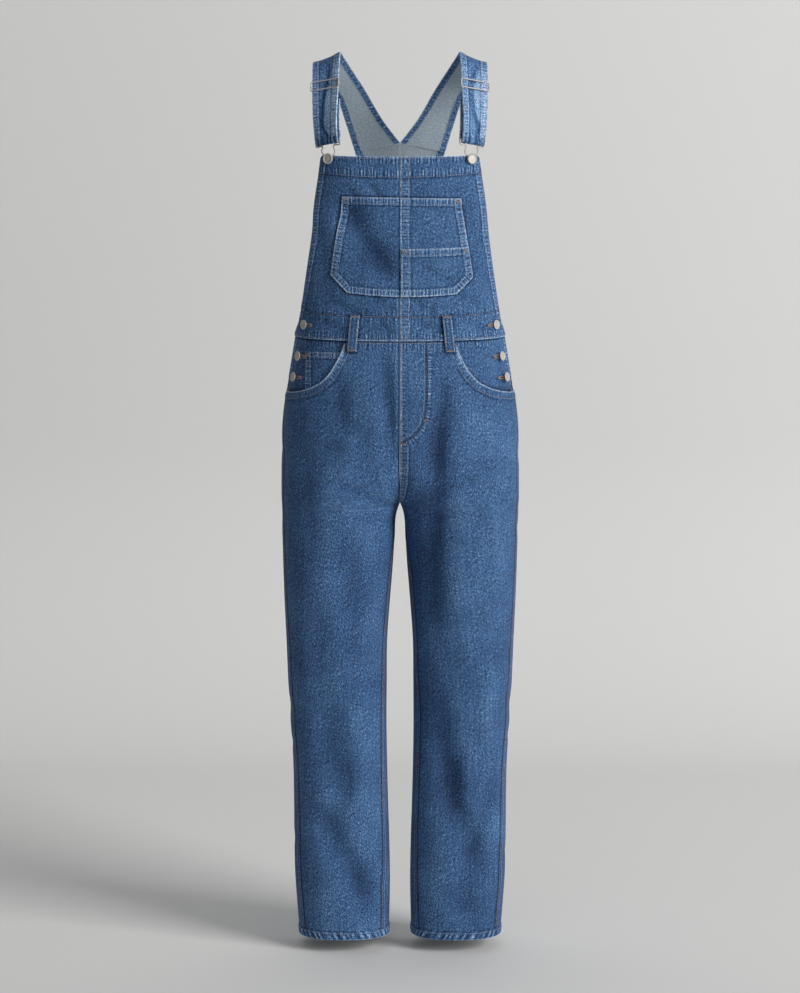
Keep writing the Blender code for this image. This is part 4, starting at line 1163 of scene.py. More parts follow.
def makeLeg(side, sign, back):
    surface = legBackSurface if back else legFrontSurface
    fixed = float(lengthAt(np.array(garment["blendEnd"]), back))
    kept = legs["kept"]
    if back:
        near = np.concatenate([np.arange(0, 0.0165, 0.0013), spread(0.019, kept, 0.0050)])
        far = np.concatenate([[0.0, 0.0018], spread(0.005, kept, 0.0050)])
        middle = spread(kept, fixed - kept, 0.0050)[1:-1]
    else:
        near, far = spread(0, kept, 0.0013), spread(0, kept, 0.0014)
        corner = openingStart * fixed
        lower = spread(kept, corner - 0.004, 0.0046)[1:]
        upper = spread(corner + 0.005, fixed - kept, 0.0044)[:-1]
        middle = np.concatenate([lower, corner + np.array([-0.0022, -0.0010, 0.0, 0.0010, 0.0024]), upper])
    metres = np.concatenate([near, middle, fixed - far[::-1]])
    columns = metres / fixed
    top = waistHeight(columns) + legs["tuck"] if back else openingHeight(columns)
    if not back:
        top = top + legs["tuck"] * smooth((openingStart - columns) * fixed / 0.006)
    height, share = legGrid(top, columns, metres, fixed - metres, back)
    face, normal, relief, base = surface(sign, height, share)
    toHem = height - garment["hem"]
    hemmed = smooth((legs["hemBand"] - toHem) / 0.0012)
    sunk = ((face - base) * normal).sum(-1)
    reverse = base + normal * (np.minimum(sunk, 0.0) - garment["wall"] - 0.0011 * hemmed)[..., None]
    turn = -1.0 if back else 1.0
    uv = np.stack([turn * sign * share * lengthAt(height, back) + (1.7 if back else 0.3), height], -1)
    turned = toHem[1:, :-1] < legs["hemBand"] - 0.0002
    where = "back" if back else "front"
    piece = makeShell(f"leg_{where}_panel_{side}", face, reverse, uv, relief, [f"leg_{where}_{side}"], turned)
    runs = np.linspace(0, 1, 1200)
    rows = Rows(lambda height, share: surface(sign, height, share))
    belowWaist = waistHeight(0.0) - 0.003
    end = garment["hem"] + legs["hemBand"] + 0.001
    if not back:
        spine = between(-0.534, end, runs)
        for inset in rowInsets(legs["sideBand"]):
            rows.add(spine, 1 - (seamAt("outSeam", spine) + inset) / lengthAt(spine, back))
        spine = between(garment["crotch"] - 0.006, end, runs)
        for inset in rowInsets(legs["inseamBand"]):
            rows.add(spine, (seamAt("inSeam", spine) + inset) / lengthAt(spine, back))
    if sign > 0:
        spine = between(belowWaist if back else legs["flyEnd"], garment["crotch"] + 0.004, runs)
        for inset in rowInsets(legs["centreBand"], seams["fold"]):
            rows.add(spine, inset / lengthAt(spine, back))
    if not back and sign > 0:
        spine = between(belowWaist, legs["flyEnd"], runs)
        rows.add(spine, legs["flyRow"] / lengthAt(spine, back))
        for line in (legs["flyOuter"], legs["flyInner"]):
            x, z = smoothLine(line, 500)
            keep = (z < waistHeight(0.0) - 0.002) & (x > 0.003)
            rows.add(z[keep], shareAt(z[keep], x[keep]))
    across = 0.004 + 0.992 * runs
    rows.add(garment["hem"] + legs["hemBand"] - seams["row"] + 0.0008 + 0 * across, across)
    if not back:
        across = 0.004 + (openingStart - 0.016) * runs
    rows.add(waistHeight(across) - 0.0030, across)
    if not back:
        curve = np.array(openingCurve)
        ahead = unit(np.gradient(curve, axis=0))
        for inset in rowInsets(legs["openingBand"]):
            low = curve + inset * np.stack([ahead[:, 1], -ahead[:, 0]], -1)
            part = low[:, 0] / lengthAt(low[:, 1], back)
            keep = part < 0.995
            rows.add(low[keep, 1], part[keep])
    sewn = sewing(f"stitching_leg_{where}_{side}", rows.made)


for side, sign in sides:
    makeLeg(side, sign, False)
    makeLeg(side, sign, True)
print("legs ready")


# Hip facings with the side plackets, and the coin pocket on the wearer's right one
facing = {"under": 0.0140, "depth": 0.0040, "band": 0.0170, "wall": 0.0012}
coin = {"outer": 0.1500, "inner": 0.0915, "top": -0.4617, "hem": 0.0085, "sideBand": 0.0085, "lift": 0.0016,
        "foot": 0.0070}


def facingDepth(height, share):
    # how far the facing lies under the leg: all the way but for its upper corner at the side
    overEdge = smooth((height - openingHeight(share) - 0.004) / 0.020)
    return facing["depth"] * (1 - overEdge * (1 - smooth((1 - share) / 0.14)))


def facingSurface(sign, height, share):
    # the drape, sunk under the leg and at the waist, with the side placket's strip, painted shade of the creases
    # and painted shade under the opening's edge
    point, normal, shade = drape(height, share, False, sign)
    length = lengthAt(height, False)
    toSide = (1 - share) * length
    toTop = waistHeight(share) - height
    relief = Relief(height, share)
    relief.add(0.0, shade)
    relief.band(toSide, height, facing["band"], 13.0 + sign, 0.0006, 0.0)
    relief.add(0.0, 0.6 * hump(toSide, 0.0011))
    relief.row(toTop - 0.0010, sign * share * length, 9.0 + sign, 0.0065, 0.0040, 0.0, 1.0, 0.9)
    relief.tuck(toTop, 0.0020)
    shadeUnderOpening = smooth((0.0075 - (height - openingHeight(share))) / 0.0075)
    relief.add(-facingDepth(height, share), -0.75 * shadeUnderOpening)
    return relief.onto(point, normal)


def makeFacing(side, sign):
    # what shows above the hip pocket's opening, and a little under its edge
    start = openingStart - facing["under"] / float(lengthAt(np.array(garment["waist"]), False))
    down = spread(0.0, 1.0, 1 / 46)[:, None]
    far = edgeSteps(facing["band"] + 0.001)
    fixed = float(lengthAt(np.array(-0.5), False))
    share = np.concatenate([spread(start, 1 - far[-1] / fixed, 0.0125)[:-1], 1 - far[::-1] / fixed])[None]
    top = waistHeight(share) + legs["tuck"]
    bottom = np.minimum(openingHeight(share), waistHeight(share)) - facing["under"]
    height = top + (bottom - top) * down
    share = np.broadcast_to(share, height.shape)
    face, normal, relief = facingSurface(sign, height, share)[:3]
    reverse = face - normal * facing["wall"]
    uv = np.stack([sign * share * lengthAt(height, False) + 2.6, height], -1)
    piece = makeShell("hip_panel_" + side, face, reverse, uv, relief, ["hip_facing_" + side])
    rows = Rows(lambda height, share: facingSurface(sign, height, share))
    spine = between(waistHeight(1.0) - 0.003, -0.526, np.linspace(0, 1, 300))
    for inset in rowInsets(facing["band"]):
        rows.add(spine, 1 - inset / lengthAt(spine, False))
    sewn = sewing("stitching_hip_panel_" + side, rows.made)


def coinSurface(x, height, bottom):
    # lies on the facing: hemmed along its top, stitched down its outer side, with painted shade where it goes in
    # under the opening's edge
    share = shareAt(height, x)
    plain, normal = drape(height, share, False, -1.0)[:2]
    depth = facingDepth(height, share)
    relief = Relief(x, height)
    relief.band(coin["top"] - height, x, coin["hem"], 2.4, 0.0005, 0.00030)
    relief.band(coin["outer"] - x, height, coin["sideBand"], 3.4, 0.0003, 0.00026)
    relief.add(0.0, 0.8 * hump(coin["top"] - height, 0.0011) + 0.6 * hump(coin["outer"] - x, 0.0010))
    relief.add(coin["lift"] - depth, -0.6 * smooth((0.006 - (height - bottom)) / 0.006))
    return plain + normal * relief.lift[..., None], normal, relief, plain - normal * depth[..., None]


def makeCoinPocket():
    # a patch on the wearer's right facing that goes in under the opening's edge
    x = spread(coin["inner"], coin["outer"], 0.0016)[None]
    limit = openingHeight(shareAt(-0.49, x))
    bottom = np.minimum(limit - coin["foot"], coin["top"] - 0.009)
    height = coin["top"] + (bottom - coin["top"]) * spread(0.0, 1.0, 1 / 34)[:, None]
    x = np.broadcast_to(x, height.shape)
    face, normal, relief, base = coinSurface(x, height, np.broadcast_to(bottom, height.shape))
    uv = np.stack([-x + 3.4, height], -1)
    piece = makeShell("coin_pocket_patch", face, base + normal * 0.0004, uv, relief, ["coin_pocket"])
    runs = np.linspace(0, 1, 200)
    rows = Rows(lambda x, height: coinSurface(x, height, coin["top"] - 0.05))
    for inset in rowInsets(coin["hem"]):
        rows.add(between(coin["inner"] + 0.002, coin["outer"] - 0.002, runs), coin["top"] - inset + 0 * runs)
    for inset in rowInsets(coin["sideBand"]):
        rows.add(coin["outer"] - inset + 0 * runs, coin["top"] - 0.002 - 0.045 * runs)
    sewn = sewing("stitching_coin_pocket", rows.made)


for side, sign in sides:
    makeFacing(side, sign)
makeCoinPocket()
print("hip panels ready")


# Patch pockets
def pocketSurface(x, level, top, start, layers):
    # lies on the bib: a hem along the top, a double row round the rest, and the bib's centre seam through it
    height = level - pocketDrop(x, level)
    share = shareAt(height, np.abs(x))
    sign = np.where(x < 0, -1.0, 1.0)
    onRight, onLeft = (drape(height, share, False, which) for which in (-1.0, 1.0))
    point, normal = (np.where(sign[..., None] < 0, onRight[i], onLeft[i]) for i in (0, 1))
    (t, a0, b0), (m, a1, b1), (f, a2, b2) = pocket["outline"]
    border = ((b0, t + 0.01), (b0, t), (b1, m), (b2, f), (a2, f), (a1, m), (a0, t), (a0, t + 0.01))
    toEdge, run = lineDistance(x, level, border)
    toEdge = np.abs(toEdge)
    toTop = top - level
    seed = 4.0 + layers
    positive = (x >= start).astype(float)
    relief = Relief(x, level)
    # painted shade of the creases
    relief.add(0.0, np.where(sign < 0, onRight[2], onLeft[2]))
    relief.band(toEdge, run, pocket["band"], seed, 0.0005, 0.00034)
    relief.band(toTop, x, pocket["topBand"], seed + 0.2, 0.0007, 0.00038)
    beyond = x - start
    relief.band(beyond - seams["fold"], level, pocket["centre"], seed + 0.4, 0.0005, 0.00028, positive,
                strength=0.65)
    # a painted shadow line where the centre seam's fold lies over the -X side
    relief.add(-0.0006 * hump(beyond, 0.0022) * (1 - positive), -hump(beyond, 0.0018) * (1 - positive))
    relief.add(pocket["lift"] * layers, 0.9 * hump(beyond - 0.0016, 0.0009) * positive)
    relief.add(0.0, 1.2 * hump(toEdge, 0.0017) + 1.2 * hump(toTop, 0.0017))
    return relief.onto(point, normal)


def pocketGrid(top, start, end):
    # levels from the top edge down, each spread evenly between the outline's two sides
    step = pocket["step"]
    outline = np.array(pocket["outline"])[::-1]
    clip, bottom = pocket["outline"][1][0], pocket["outline"][2][0]
    level = np.concatenate([spread(top, clip, step)[:-1], spread(clip, bottom, step)])[:, None]
    low = np.maximum(np.interp(level, outline[:, 0], outline[:, 1]), start)
    high = np.interp(level, outline[:, 0], outline[:, 2]) * end
    part = np.linspace(0, 1, int(round((high.max() - low.min()) / step)) + 1)
    return low + (high - low) * part, np.broadcast_to(level, (len(level), len(part)))


def makePocket(name, node, top, start, end, layers):
    # the part of the outline below top and from start on; layers is 1 on the bib, 2 on the larger pocket
    x, level = pocketGrid(top, start, end)
    centre = pocket["smallStart"] if start > 0 else 0.0
    face, normal, relief, base = pocketSurface(x, level, top, centre, layers)
    reverse = base + normal * (0.0002 + (pocket["lift"] + 0.0004) * (layers - 1))
    uv = np.stack([x + 4.0 + layers, level - pocketDrop(x, level)], -1)
    turned = top - level[:-1, :-1] < pocket["band"]
    piece = makeShell(name, face, reverse, uv, relief, [node], turned)
    runs = np.linspace(0, 1, 700)
    rows = Rows(lambda x, level: pocketSurface(x, level, top, centre, layers))
    (t, a0, b0), (m, a1, b1), (f, a2, b2) = pocket["outline"]
    edge = np.interp(top, [m, t], [b1, b0])
    for inset in rowInsets(pocket["band"]):
        corner = inset * 0.42
        right = ((edge - inset, top - 0.001), (b1 - inset, m + corner), (b2 - corner, f + inset))
        left = ((a2 + corner, f + inset), (a1 + inset, m + corner), (a0 + inset, t - 0.001))
        line = np.array((*right, (centre + 0.002, f + inset)) if start > 0 else (*right, *left))
        run = pathRun(line)
        rows.add(*(np.interp(run[-1] * runs, run, line[:, axis]) for axis in (0, 1)))
    low = (centre if start > 0 else a0) + 0.002
    for inset in rowInsets(pocket["topBand"]):
        rows.add(between(low, edge - 0.002, runs), top - inset + 0 * runs)
    for inset in rowInsets(pocket["centre"], seams["fold"]):
        rows.add(centre + inset + 0 * runs, top - 0.001 + (f + 0.002 - top) * runs)
    sewn = sewing("stitching_" + name, rows.made)


makePocket("bib_patch_pocket", "bib_pocket", pocket["outline"][0][0], -1.0, 1.0, 1)
makePocket("bib_tool_pocket", "bib_pocket_small", pocket["smallTop"], pocket["smallStart"], 0.994, 2)
print("pockets ready")


def makeLoop(side, sign):
    # a folded strip that stands off the cloth in an arch between its two tacked ends
    xTop, zTop, xEnd, zEnd = loops[side]
    down = np.linspace(0, 1, 44)[:, None]
    across = np.linspace(-0.5, 0.5, 15)[None]
    height = zTop + (zEnd - zTop) * down + 0 * across
    x = xTop + (xEnd - xTop) * down + loop["width"] * across
    base, normal = drape(height, shareAt(height, np.abs(x)), False, sign)[:2]
    fromEdge = (0.5 - np.abs(across)) * loop["width"]
    run = (zTop - zEnd) * down
    arch = loop["arch"] * np.sin(pi * down) ** 0.7
    rows = hump(fromEdge - loop["row"], 0.0009)
    ends = smooth(down * 14) * smooth((1 - down) * 14)
    relief = Relief(down, across)
    relief.waves(0.45 * hump(fromEdge - 0.0030, 0.0028) + 0 * down, run + 0 * across + 3.0 + sign, 0.00022)
    relief.add(loop["under"] + loop["wall"] + arch - 0.00035 * rows - 0.0007 * (1 - ends))
    relief.add(-0.0004 * (1 - smooth(fromEdge / 0.0010)), 0.10 + 0.75 * hump(fromEdge, 0.0011))
    # painted shade in the stitch grooves, and a darker line just inside them
    relief.add(0.0, -0.55 * rows - 0.35 * hump(fromEdge - 0.0040, 0.0012))
    face = base + normal * relief.lift[..., None]
    reverse = base + normal * (loop["under"] + arch)[..., None] - normal * (0.0009 * (1 - ends))[..., None]
    uv = np.stack([x + 6.0, height], -1)
    piece = makeShell("loop_" + side, face, reverse, uv, relief, ["belt_loop_" + side])
    threads = [stitchRow(face[2:-2, column], normal[2:-2, column]) for column in (2, 12)]
    sewn = sewing("stitching_loop_" + side, threads)
    length = loop["width"] * 0.86
    bars = [tack(face[row, 7], normal[row, 7], face[row, -1] - face[row, 0], length) for row in (2, -3)]
    bars = sewing("tacks_loop_" + side, bars, "copper")


for side, sign in sides:
    makeLoop(side, sign)
print("loops ready")


# Half a hook's outline in its own plane, a slider, and the buttons' profiles (radius, height over the cloth)
hook = {
    "outline": (
        (0.0000, 0.0000), (0.0215, 0.0000), (0.0231, -0.0007), (0.0238, -0.0022), (0.0238, -0.0046),
        (0.0231, -0.0061), (0.0215, -0.0068), (0.0125, -0.0068), (0.0106, -0.0078), (0.0106, -0.0102),
        (0.0119, -0.0138), (0.0112, -0.0178), (0.0082, -0.0212), (0.0052, -0.0244), (0.0042, -0.0280),
        (0.0030, -0.0310), (0.0000, -0.0323),
    ),
    "wire": 0.0011, "reach": 0.0270, "lift": 0.0018,
}
slider = {
    "halfWidth": 0.0240, "halfHeight": 0.0070, "corner": 0.0022, "wire": 0.0010, "at": 2.30, "drop": 0.0045,
}
buttons = {
    "bib": (
        (0.0024, 0.0000), (0.0024, 0.0033), (0.0070, 0.0033), (0.0080, 0.0036), (0.0085, 0.0042),
        (0.0085, 0.0048), (0.0081, 0.0054), (0.0074, 0.0057), (0.0067, 0.0054), (0.0062, 0.0049),
        (0.0050, 0.0047), (0.0035, 0.0048), (0.0018, 0.0051), (0.0004, 0.0052),
    ),
    "side": (
        (0.0022, 0.0000), (0.0022, 0.0011), (0.0064, 0.0011), (0.0073, 0.0014), (0.0076, 0.0019),
        (0.0075, 0.0025), (0.0070, 0.0029), (0.0063, 0.0030), (0.0056, 0.0026), (0.0044, 0.0024),
        (0.0030, 0.0025), (0.0014, 0.0028), (0.0003, 0.0029),
    ),
    "bibAt": (0.1100, -0.1609),
    "sideAt": (("waist", 0.1497, -0.4206), ("upper", 0.1594, -0.4703), ("lower", 0.1667, -0.5035)),
    "turns": 48, "lift": 0.0006,
}


# Straps, from the hook's bar over the shoulder: inner edge x, y, z and outer edge x, y, z
strap = {
    "stations": (
        (0.0967, -0.0735, -0.1305, 0.1308, -0.0470, -0.1375), (0.0978, -0.0650, -0.0980, 0.1345, -0.0400, -0.1030),
        (0.0960, -0.0480, -0.0560, 0.1364, -0.0290, -0.0620), (0.0945, -0.0290, -0.0190, 0.1366, -0.0160, -0.0310),
        (0.0933, -0.0120, -0.0015, 0.1362, -0.0060, -0.0175), (0.0925, 0.0060, 0.0025, 0.1350, 0.0090, -0.0150),
        (0.0860, 0.0300, -0.0080, 0.1290, 0.0330, -0.0270), (0.0715, 0.0560, -0.0305, 0.1150, 0.0570, -0.0480),
        (0.0540, 0.0745, -0.0580, 0.0985, 0.0740, -0.0730), (0.0290, 0.0870, -0.1010, 0.0850, 0.0840, -0.1130),
    ),
    "wall": 0.0020, "bend": 0.0027, "dish": 0.0015, "returnTop": 1.75, "band": 0.0100, "edge": 9, "middle": 23,
}
last = len(strap["stations"])


def normalsOf(sheet):
    return unit(np.cross(np.gradient(sheet, axis=1), np.gradient(sheet, axis=0)))


def strapEdges(station):
    # both edges of the +X strap; the last station lies on the back panel's top edge
    ends = []
    for x, z in ((garment["seamGap"] / 2, backBib["peak"]), (backBib["edge"][0][1], backBib["corner"])):
        shift = (0.0, -garment["wall"] / 2, garment["seamGap"])
        ends.append(sectionPoint(z, shareAt(z, x, True), True) + shift)
    rows = [*strap["stations"], tuple(np.concatenate(ends))]
    table = [(float(i), *row) for i, row in enumerate(rows)]
    values = np.stack([curveValue(table, column, station) for column in range(1, 7)], axis=-1)
    return values[..., :3], values[..., 3:]


def strapSheet(station):
    # points from the inner to the outer edge: the outer columns stay in the two hems
    inner, outer = strapEdges(station)
    width = np.linalg.norm(outer - inner, axis=-1)[:, None]
    hem = np.linspace(0, strap["band"], strap["edge"])[None] / width
    part = hem[:, -1:] + (1 - 2 * hem[:, -1:]) * np.linspace(0, 1, strap["middle"])[None, 1:-1]
    across = np.concatenate([hem, part, 1 - hem[:, ::-1]], 1)
    return inner[:, None] + (outer - inner)[:, None] * across[..., None], across


def makeStrap(side, sign):
    # the strap's ribbon in two sheets, face and reverse, with stitch rows on both
    longStation = np.concatenate([np.linspace(0, 5, 96)[:-1], np.linspace(5, last, 110)])
    longSheet, longAcross = strapSheet(longStation)
    longNormal = normalsOf(longSheet)
    dish = strap["dish"] * 4 * longAcross * (1 - longAcross) * smooth(longStation / 0.8)[:, None]
    dish = dish * smooth((last - longStation) / 2)[:, None]
    shortStation = np.linspace(strap["returnTop"], 0, 34)
    shortSheet, shortAcross = strapSheet(shortStation)
    shortNormal = normalsOf(shortSheet[::-1])[::-1]
    barNormal = longNormal[0]
    barAxis = longSheet[0] - barNormal * strap["bend"]
    runDown = unit(longSheet[0] - longSheet[1])
    behind = shortSheet - shortNormal * 2 * strap["bend"]
    turn = [
        barAxis - strap["bend"] * (cos(angle) * barNormal - sin(angle) * runDown)
        for angle in np.linspace(0, pi, 12)[1:-1]
    ]
    middle = np.concatenate([behind, np.array(turn), longSheet - longNormal * dish[..., None]])
    middle = middle * (sign, 1.0, 1.0)
    normal = normalsOf(middle)
    centre = middle.shape[1] // 2
    normal = normal * np.sign(normal[len(behind) + len(turn) + 20, centre, 2])
    width = np.linalg.norm(middle[:, -1] - middle[:, 0], axis=-1)
    run = pathRun(middle[:, centre])
    across = np.concatenate([shortAcross, np.repeat(longAcross[:1], len(turn), 0), longAcross])
    fromInner = across * width[:, None]
    fromOuter = width[:, None] - fromInner
    relief = Relief(fromInner, run[:, None])
    for distance, seed in ((fromInner, 1.0 + sign), (fromOuter, 2.6 + sign)):
        relief.band(distance, run[:, None], strap["band"], seed, 0.0006, strength=0.7)
    stationOf = np.concatenate([-shortStation, np.zeros(len(turn)), longStation])
    front = smooth((stationOf - 0.05) / 0.3) * smooth((4.0 - stationOf) / 1.5)
    crease = 0.5 + 0.12 * np.sin(stationOf * 1.9 + sign) + 0.10 * hump(stationOf - 0.7, 0.35)
    creased = hump(across - crease[:, None], 0.085) * front[:, None]
    atBar = hump(run - run[len(behind) + len(turn)], 0.011)[:, None] + 0 * fromInner
    relief.waves(0.9 * atBar, fromInner * 0.55 + 3.0 + sign, 0.00045)
    underSlider = (hump(stationOf - slider["at"], 0.10) * (stationOf > 0))[:, None]
    # painted shade in the crease down the strap's front
    relief.add(-0.0011 * creased - 0.0010 * underSlider, -0.8 * creased)
    relief.add(0.0, 0.75 * hump(fromInner, 0.0012) + 0.6 * hump(fromOuter, 0.0012))
    # the front is made paler, and painted light makes the crease's side towards the key light paler still
    pale = smooth((crease[:, None] - across) / 0.1 if sign < 0 else (across - crease[:, None]) / 0.1 + 1)
    relief.add(0.0, ((0.36 if sign < 0 else 0.37) + 0.40 * pale) * front[:, None])
    face = middle + normal * (strap["wall"] + relief.lift)[..., None]
    columns = np.arange(across.shape[1])
    folded = (columns < strap["edge"]) | (columns >= across.shape[1] - strap["edge"])
    hemmed = np.broadcast_to(folded.astype(float)[None], across.shape)
    reverse = middle - normal * (0.0003 * hemmed + 0.00015 * ripple(run[:, None] + 4.0) * hemmed)[..., None]
    uv = np.stack([sign * fromInner + 7.0, -run[:, None] + 0 * fromInner], -1)
    turned = np.broadcast_to((folded[:-1] & folded[1:])[None], (len(across) - 1, len(columns) - 1))
    piece = makeShell("shoulder_strap_" + side, face, reverse, uv, relief, ["strap_" + side], turned)
    rows = []

    def read(grid, wanted):
        # values of each row of a grid at a share of the way across
        right = np.clip((across < wanted[:, None]).sum(1), 1, across.shape[1] - 1)
        order = np.arange(len(grid))
        low, high = across[order, right - 1], across[order, right]
        part = ((wanted - low) / (high - low))[:, None]
        return grid[order, right - 1] * (1 - part) + grid[order, right] * part

    for inset in rowInsets(strap["band"]):
        for wanted in (inset / width, 1 - inset / width):
            out = read(normal, wanted)[3:-2]
            rows.append(stitchRow(read(face, wanted)[3:-2], out))
            rows.append(stitchRow(read(reverse, wanted)[3:-2], -out))
    for end in (3, 7):
        rows.append(stitchRow(face[end, 2:-2], normal[end, 2:-2]))
    sewn = sewing("stitching_strap_" + side, rows)


for side, sign in sides:
    makeStrap(side, sign)
print("straps ready")


# Hardware
def tube(path, radius, closed, across, ringSides=12):
    # a round wire along a path that lies nearly flat; across is square to its plane
    count = len(path)
    tangent = unit(np.roll(path, -1, 0) - np.roll(path, 1, 0)) if closed else unit(np.gradient(path, axis=0))
    aside = unit(np.cross(tangent, across))
    up = np.cross(aside, tangent)
    angle = 2 * pi * np.arange(ringSides) / ringSides
    ring = np.cos(angle)[None, :, None] * aside[:, None] + np.sin(angle)[None, :, None] * up[:, None]
    points = (path[:, None] + radius * ring).reshape(-1, 3)
    here = np.arange(count if closed else count - 1)[:, None] * ringSides
    there = (np.arange(count if closed else count - 1)[:, None] + 1) % count * ringSides
    a = np.arange(ringSides)[None]
    b = (a + 1) % ringSides
    faces = np.stack([here + a, here + b, there + b, there + a], -1).reshape(-1, 4).tolist()
    if not closed:
        faces.append(list(range(ringSides)))
        faces.append(list(reversed(range((count - 1) * ringSides, count * ringSides))))
    return points, faces


def rounded(outline, count):
    # an even, rounded run through a closed outline
    closed = np.concatenate([outline[-3:], outline, outline[:3]])
    run = pathRun(closed)
    spots = np.linspace(run[3], run[3 + len(outline)], count, endpoint=False)
    table = np.concatenate([run[:, None], closed], 1)
    return np.stack([curveValue(table, c, spots) for c in range(1, outline.shape[1] + 1)], -1)


def outwardFaces(points, faces):
    # turns the faces round if the closed shape they make is inside out
    volume = 0.0
    for face in faces:
        for b, c in zip(face[1:-1], face[2:]):
            volume += np.dot(points[face[0]], np.cross(points[b], points[c]))
    return faces if volume > 0 else [list(reversed(f)) for f in faces]


def frontPoint(x, z, sign):
    return drape(np.array(z), shareAt(z, x), False, sign)[:2]


def makeHook(side, sign):
    # a bent wire round the strap's end fold and the bib button's shank
    inner, outer = (edge[0] for edge in strapEdges(np.zeros(1)))
    coarse = np.linspace(0, last, 21)
    pair = strapEdges(coarse)
    sheet = pair[0][:, None] + (pair[1] - pair[0])[:, None] * np.linspace(0, 1, 5)[None, :, None]
    barMiddle = (inner + outer) / 2 - normalsOf(sheet)[0, 2] * strap["bend"]
    x, z = buttons["bibAt"]
    point, bibNormal = formPoint(np.array(z), shareAt(z, x), False)
    down = (point + bibNormal * hook["lift"] - barMiddle) / hook["reach"]
    half = np.array(hook["outline"])
    outline = rounded(np.concatenate([half, (half * (-1, 1))[-2:0:-1]]), 150)
    alongBar = unit(outer - inner)
    alongBib = unit(np.cross((0.0, 0.0, 1.0), bibNormal))
    alongBib = alongBib * np.sign(alongBib[0])
    twist = smooth(-outline[:, 1:] / hook["reach"] * 1.3)
    across = alongBar + (alongBib - alongBar) * twist
    path = (barMiddle + outline[:, :1] * across - outline[:, 1:] * down) * (sign, 1.0, 1.0)
    plane = unit(np.cross(alongBar, down)) * (sign, 1.0, 1.0)
    points, faces = tube(path, hook["wire"], True, plane)
    faces = outwardFaces(points, faces)
    makePiece("strap_hook_" + side, points, faces, ("nickel",), nodes=["hook_" + side], sharp=None)


def makeSlider(side, sign):
    # a wire frame round the strap, with a bar behind
    inner, outer = (edge[0] for edge in strapEdges(np.array([slider["at"]])))
    above = strapEdges(np.array([slider["at"] + 0.1]))
    middle = (inner + outer) / 2
    across = unit(outer - inner)
    up = unit((above[0][0] + above[1][0]) / 2 - middle)
    out = unit(np.cross(across, up))
    out = out * -np.sign(out[1])
    up = np.cross(out, across) * np.sign(np.cross(out, across)[2])
    lift = strap["wall"] / 2 + garment["seamGap"] + slider["wire"] + 0.0009
    corners = []
    for turn in range(4):
        centreX = (slider["halfWidth"] - slider["corner"]) * (1 if turn in (0, 3) else -1)
        centreY = (slider["halfHeight"] - slider["corner"]) * (1 if turn < 2 else -1)
        for step in range(8):
            angle = pi / 2 * (turn + step / 7)
            corners.append((centreX + slider["corner"] * cos(angle), centreY + slider["corner"] * sin(angle)))
    outline = np.array(corners)
    bow = 0.0012 * (1 - (outline[:, :1] / slider["halfWidth"]) ** 2)
    path = (middle + outline[:, :1] * across + outline[:, 1:] * up + out * (lift - bow)) * (sign, 1.0, 1.0)
    points, faces = tube(path, slider["wire"], True, out * (sign, 1.0, 1.0))
    faces = outwardFaces(points, faces)
    sideX = slider["halfWidth"]
    bar = ((-sideX, lift), (-sideX, -slider["drop"] / 2), (-sideX + 0.0012, -slider["drop"]))
    bar = np.array([*bar, *((-x, z) for x, z in reversed(bar))])
    path = (middle + bar[:, :1] * across + bar[:, 1:] * out) * (sign, 1.0, 1.0)
    barPoints, barFaces = tube(path, slider["wire"] * 0.9, False, up * (sign, 1.0, 1.0))
    barFaces = outwardFaces(barPoints, barFaces)
    faces = faces + [[i + len(points) for i in f] for f in barFaces]
    points = np.concatenate([points, barPoints])
    makePiece("strap_slider_" + side, points, faces, ("nickel",), nodes=["slider_" + side], sharp=None)


def makeButton(name, node, profile, x, z, sign):
    # a profile turned about the cloth's normal
    foot, axis = frontPoint(x, z, sign)
    foot = foot + axis * buttons["lift"]
    aside = unit(np.cross(axis, (0.0, 0.0, 1.0)))
    up = np.cross(aside, axis)
    turns = buttons["turns"]
    angle = 2 * pi * np.arange(turns) / turns
    ring = np.cos(angle)[:, None] * aside + np.sin(angle)[:, None] * up
    points = np.concatenate([foot + radius * ring + height * axis for radius, height in profile])
    start = np.arange(len(profile) - 1)[:, None] * turns
    a = np.arange(turns)[None]
    b = (a + 1) % turns
    faces = np.stack([start + a, start + b, start + b + turns, start + a + turns], -1).reshape(-1, 4).tolist()
    faces.append(list(reversed(range(turns))))
    faces.append(list(range((len(profile) - 1) * turns, len(profile) * turns)))
    makePiece(name, points, outwardFaces(points, faces), ("nickel",), nodes=[node], sharp=0.8)


for side, sign in sides:
    makeHook(side, sign)
    makeSlider(side, sign)
    makeButton("bib_stud_" + side, "bib_button_" + side, buttons["bib"], *buttons["bibAt"], sign)
    for place, x, z in buttons["sideAt"]:
        node = f"side_button_{place}_{side}"
        makeButton(f"side_stud_{place}_{side}", node, buttons["side"], x, z, sign)
print("hardware ready")


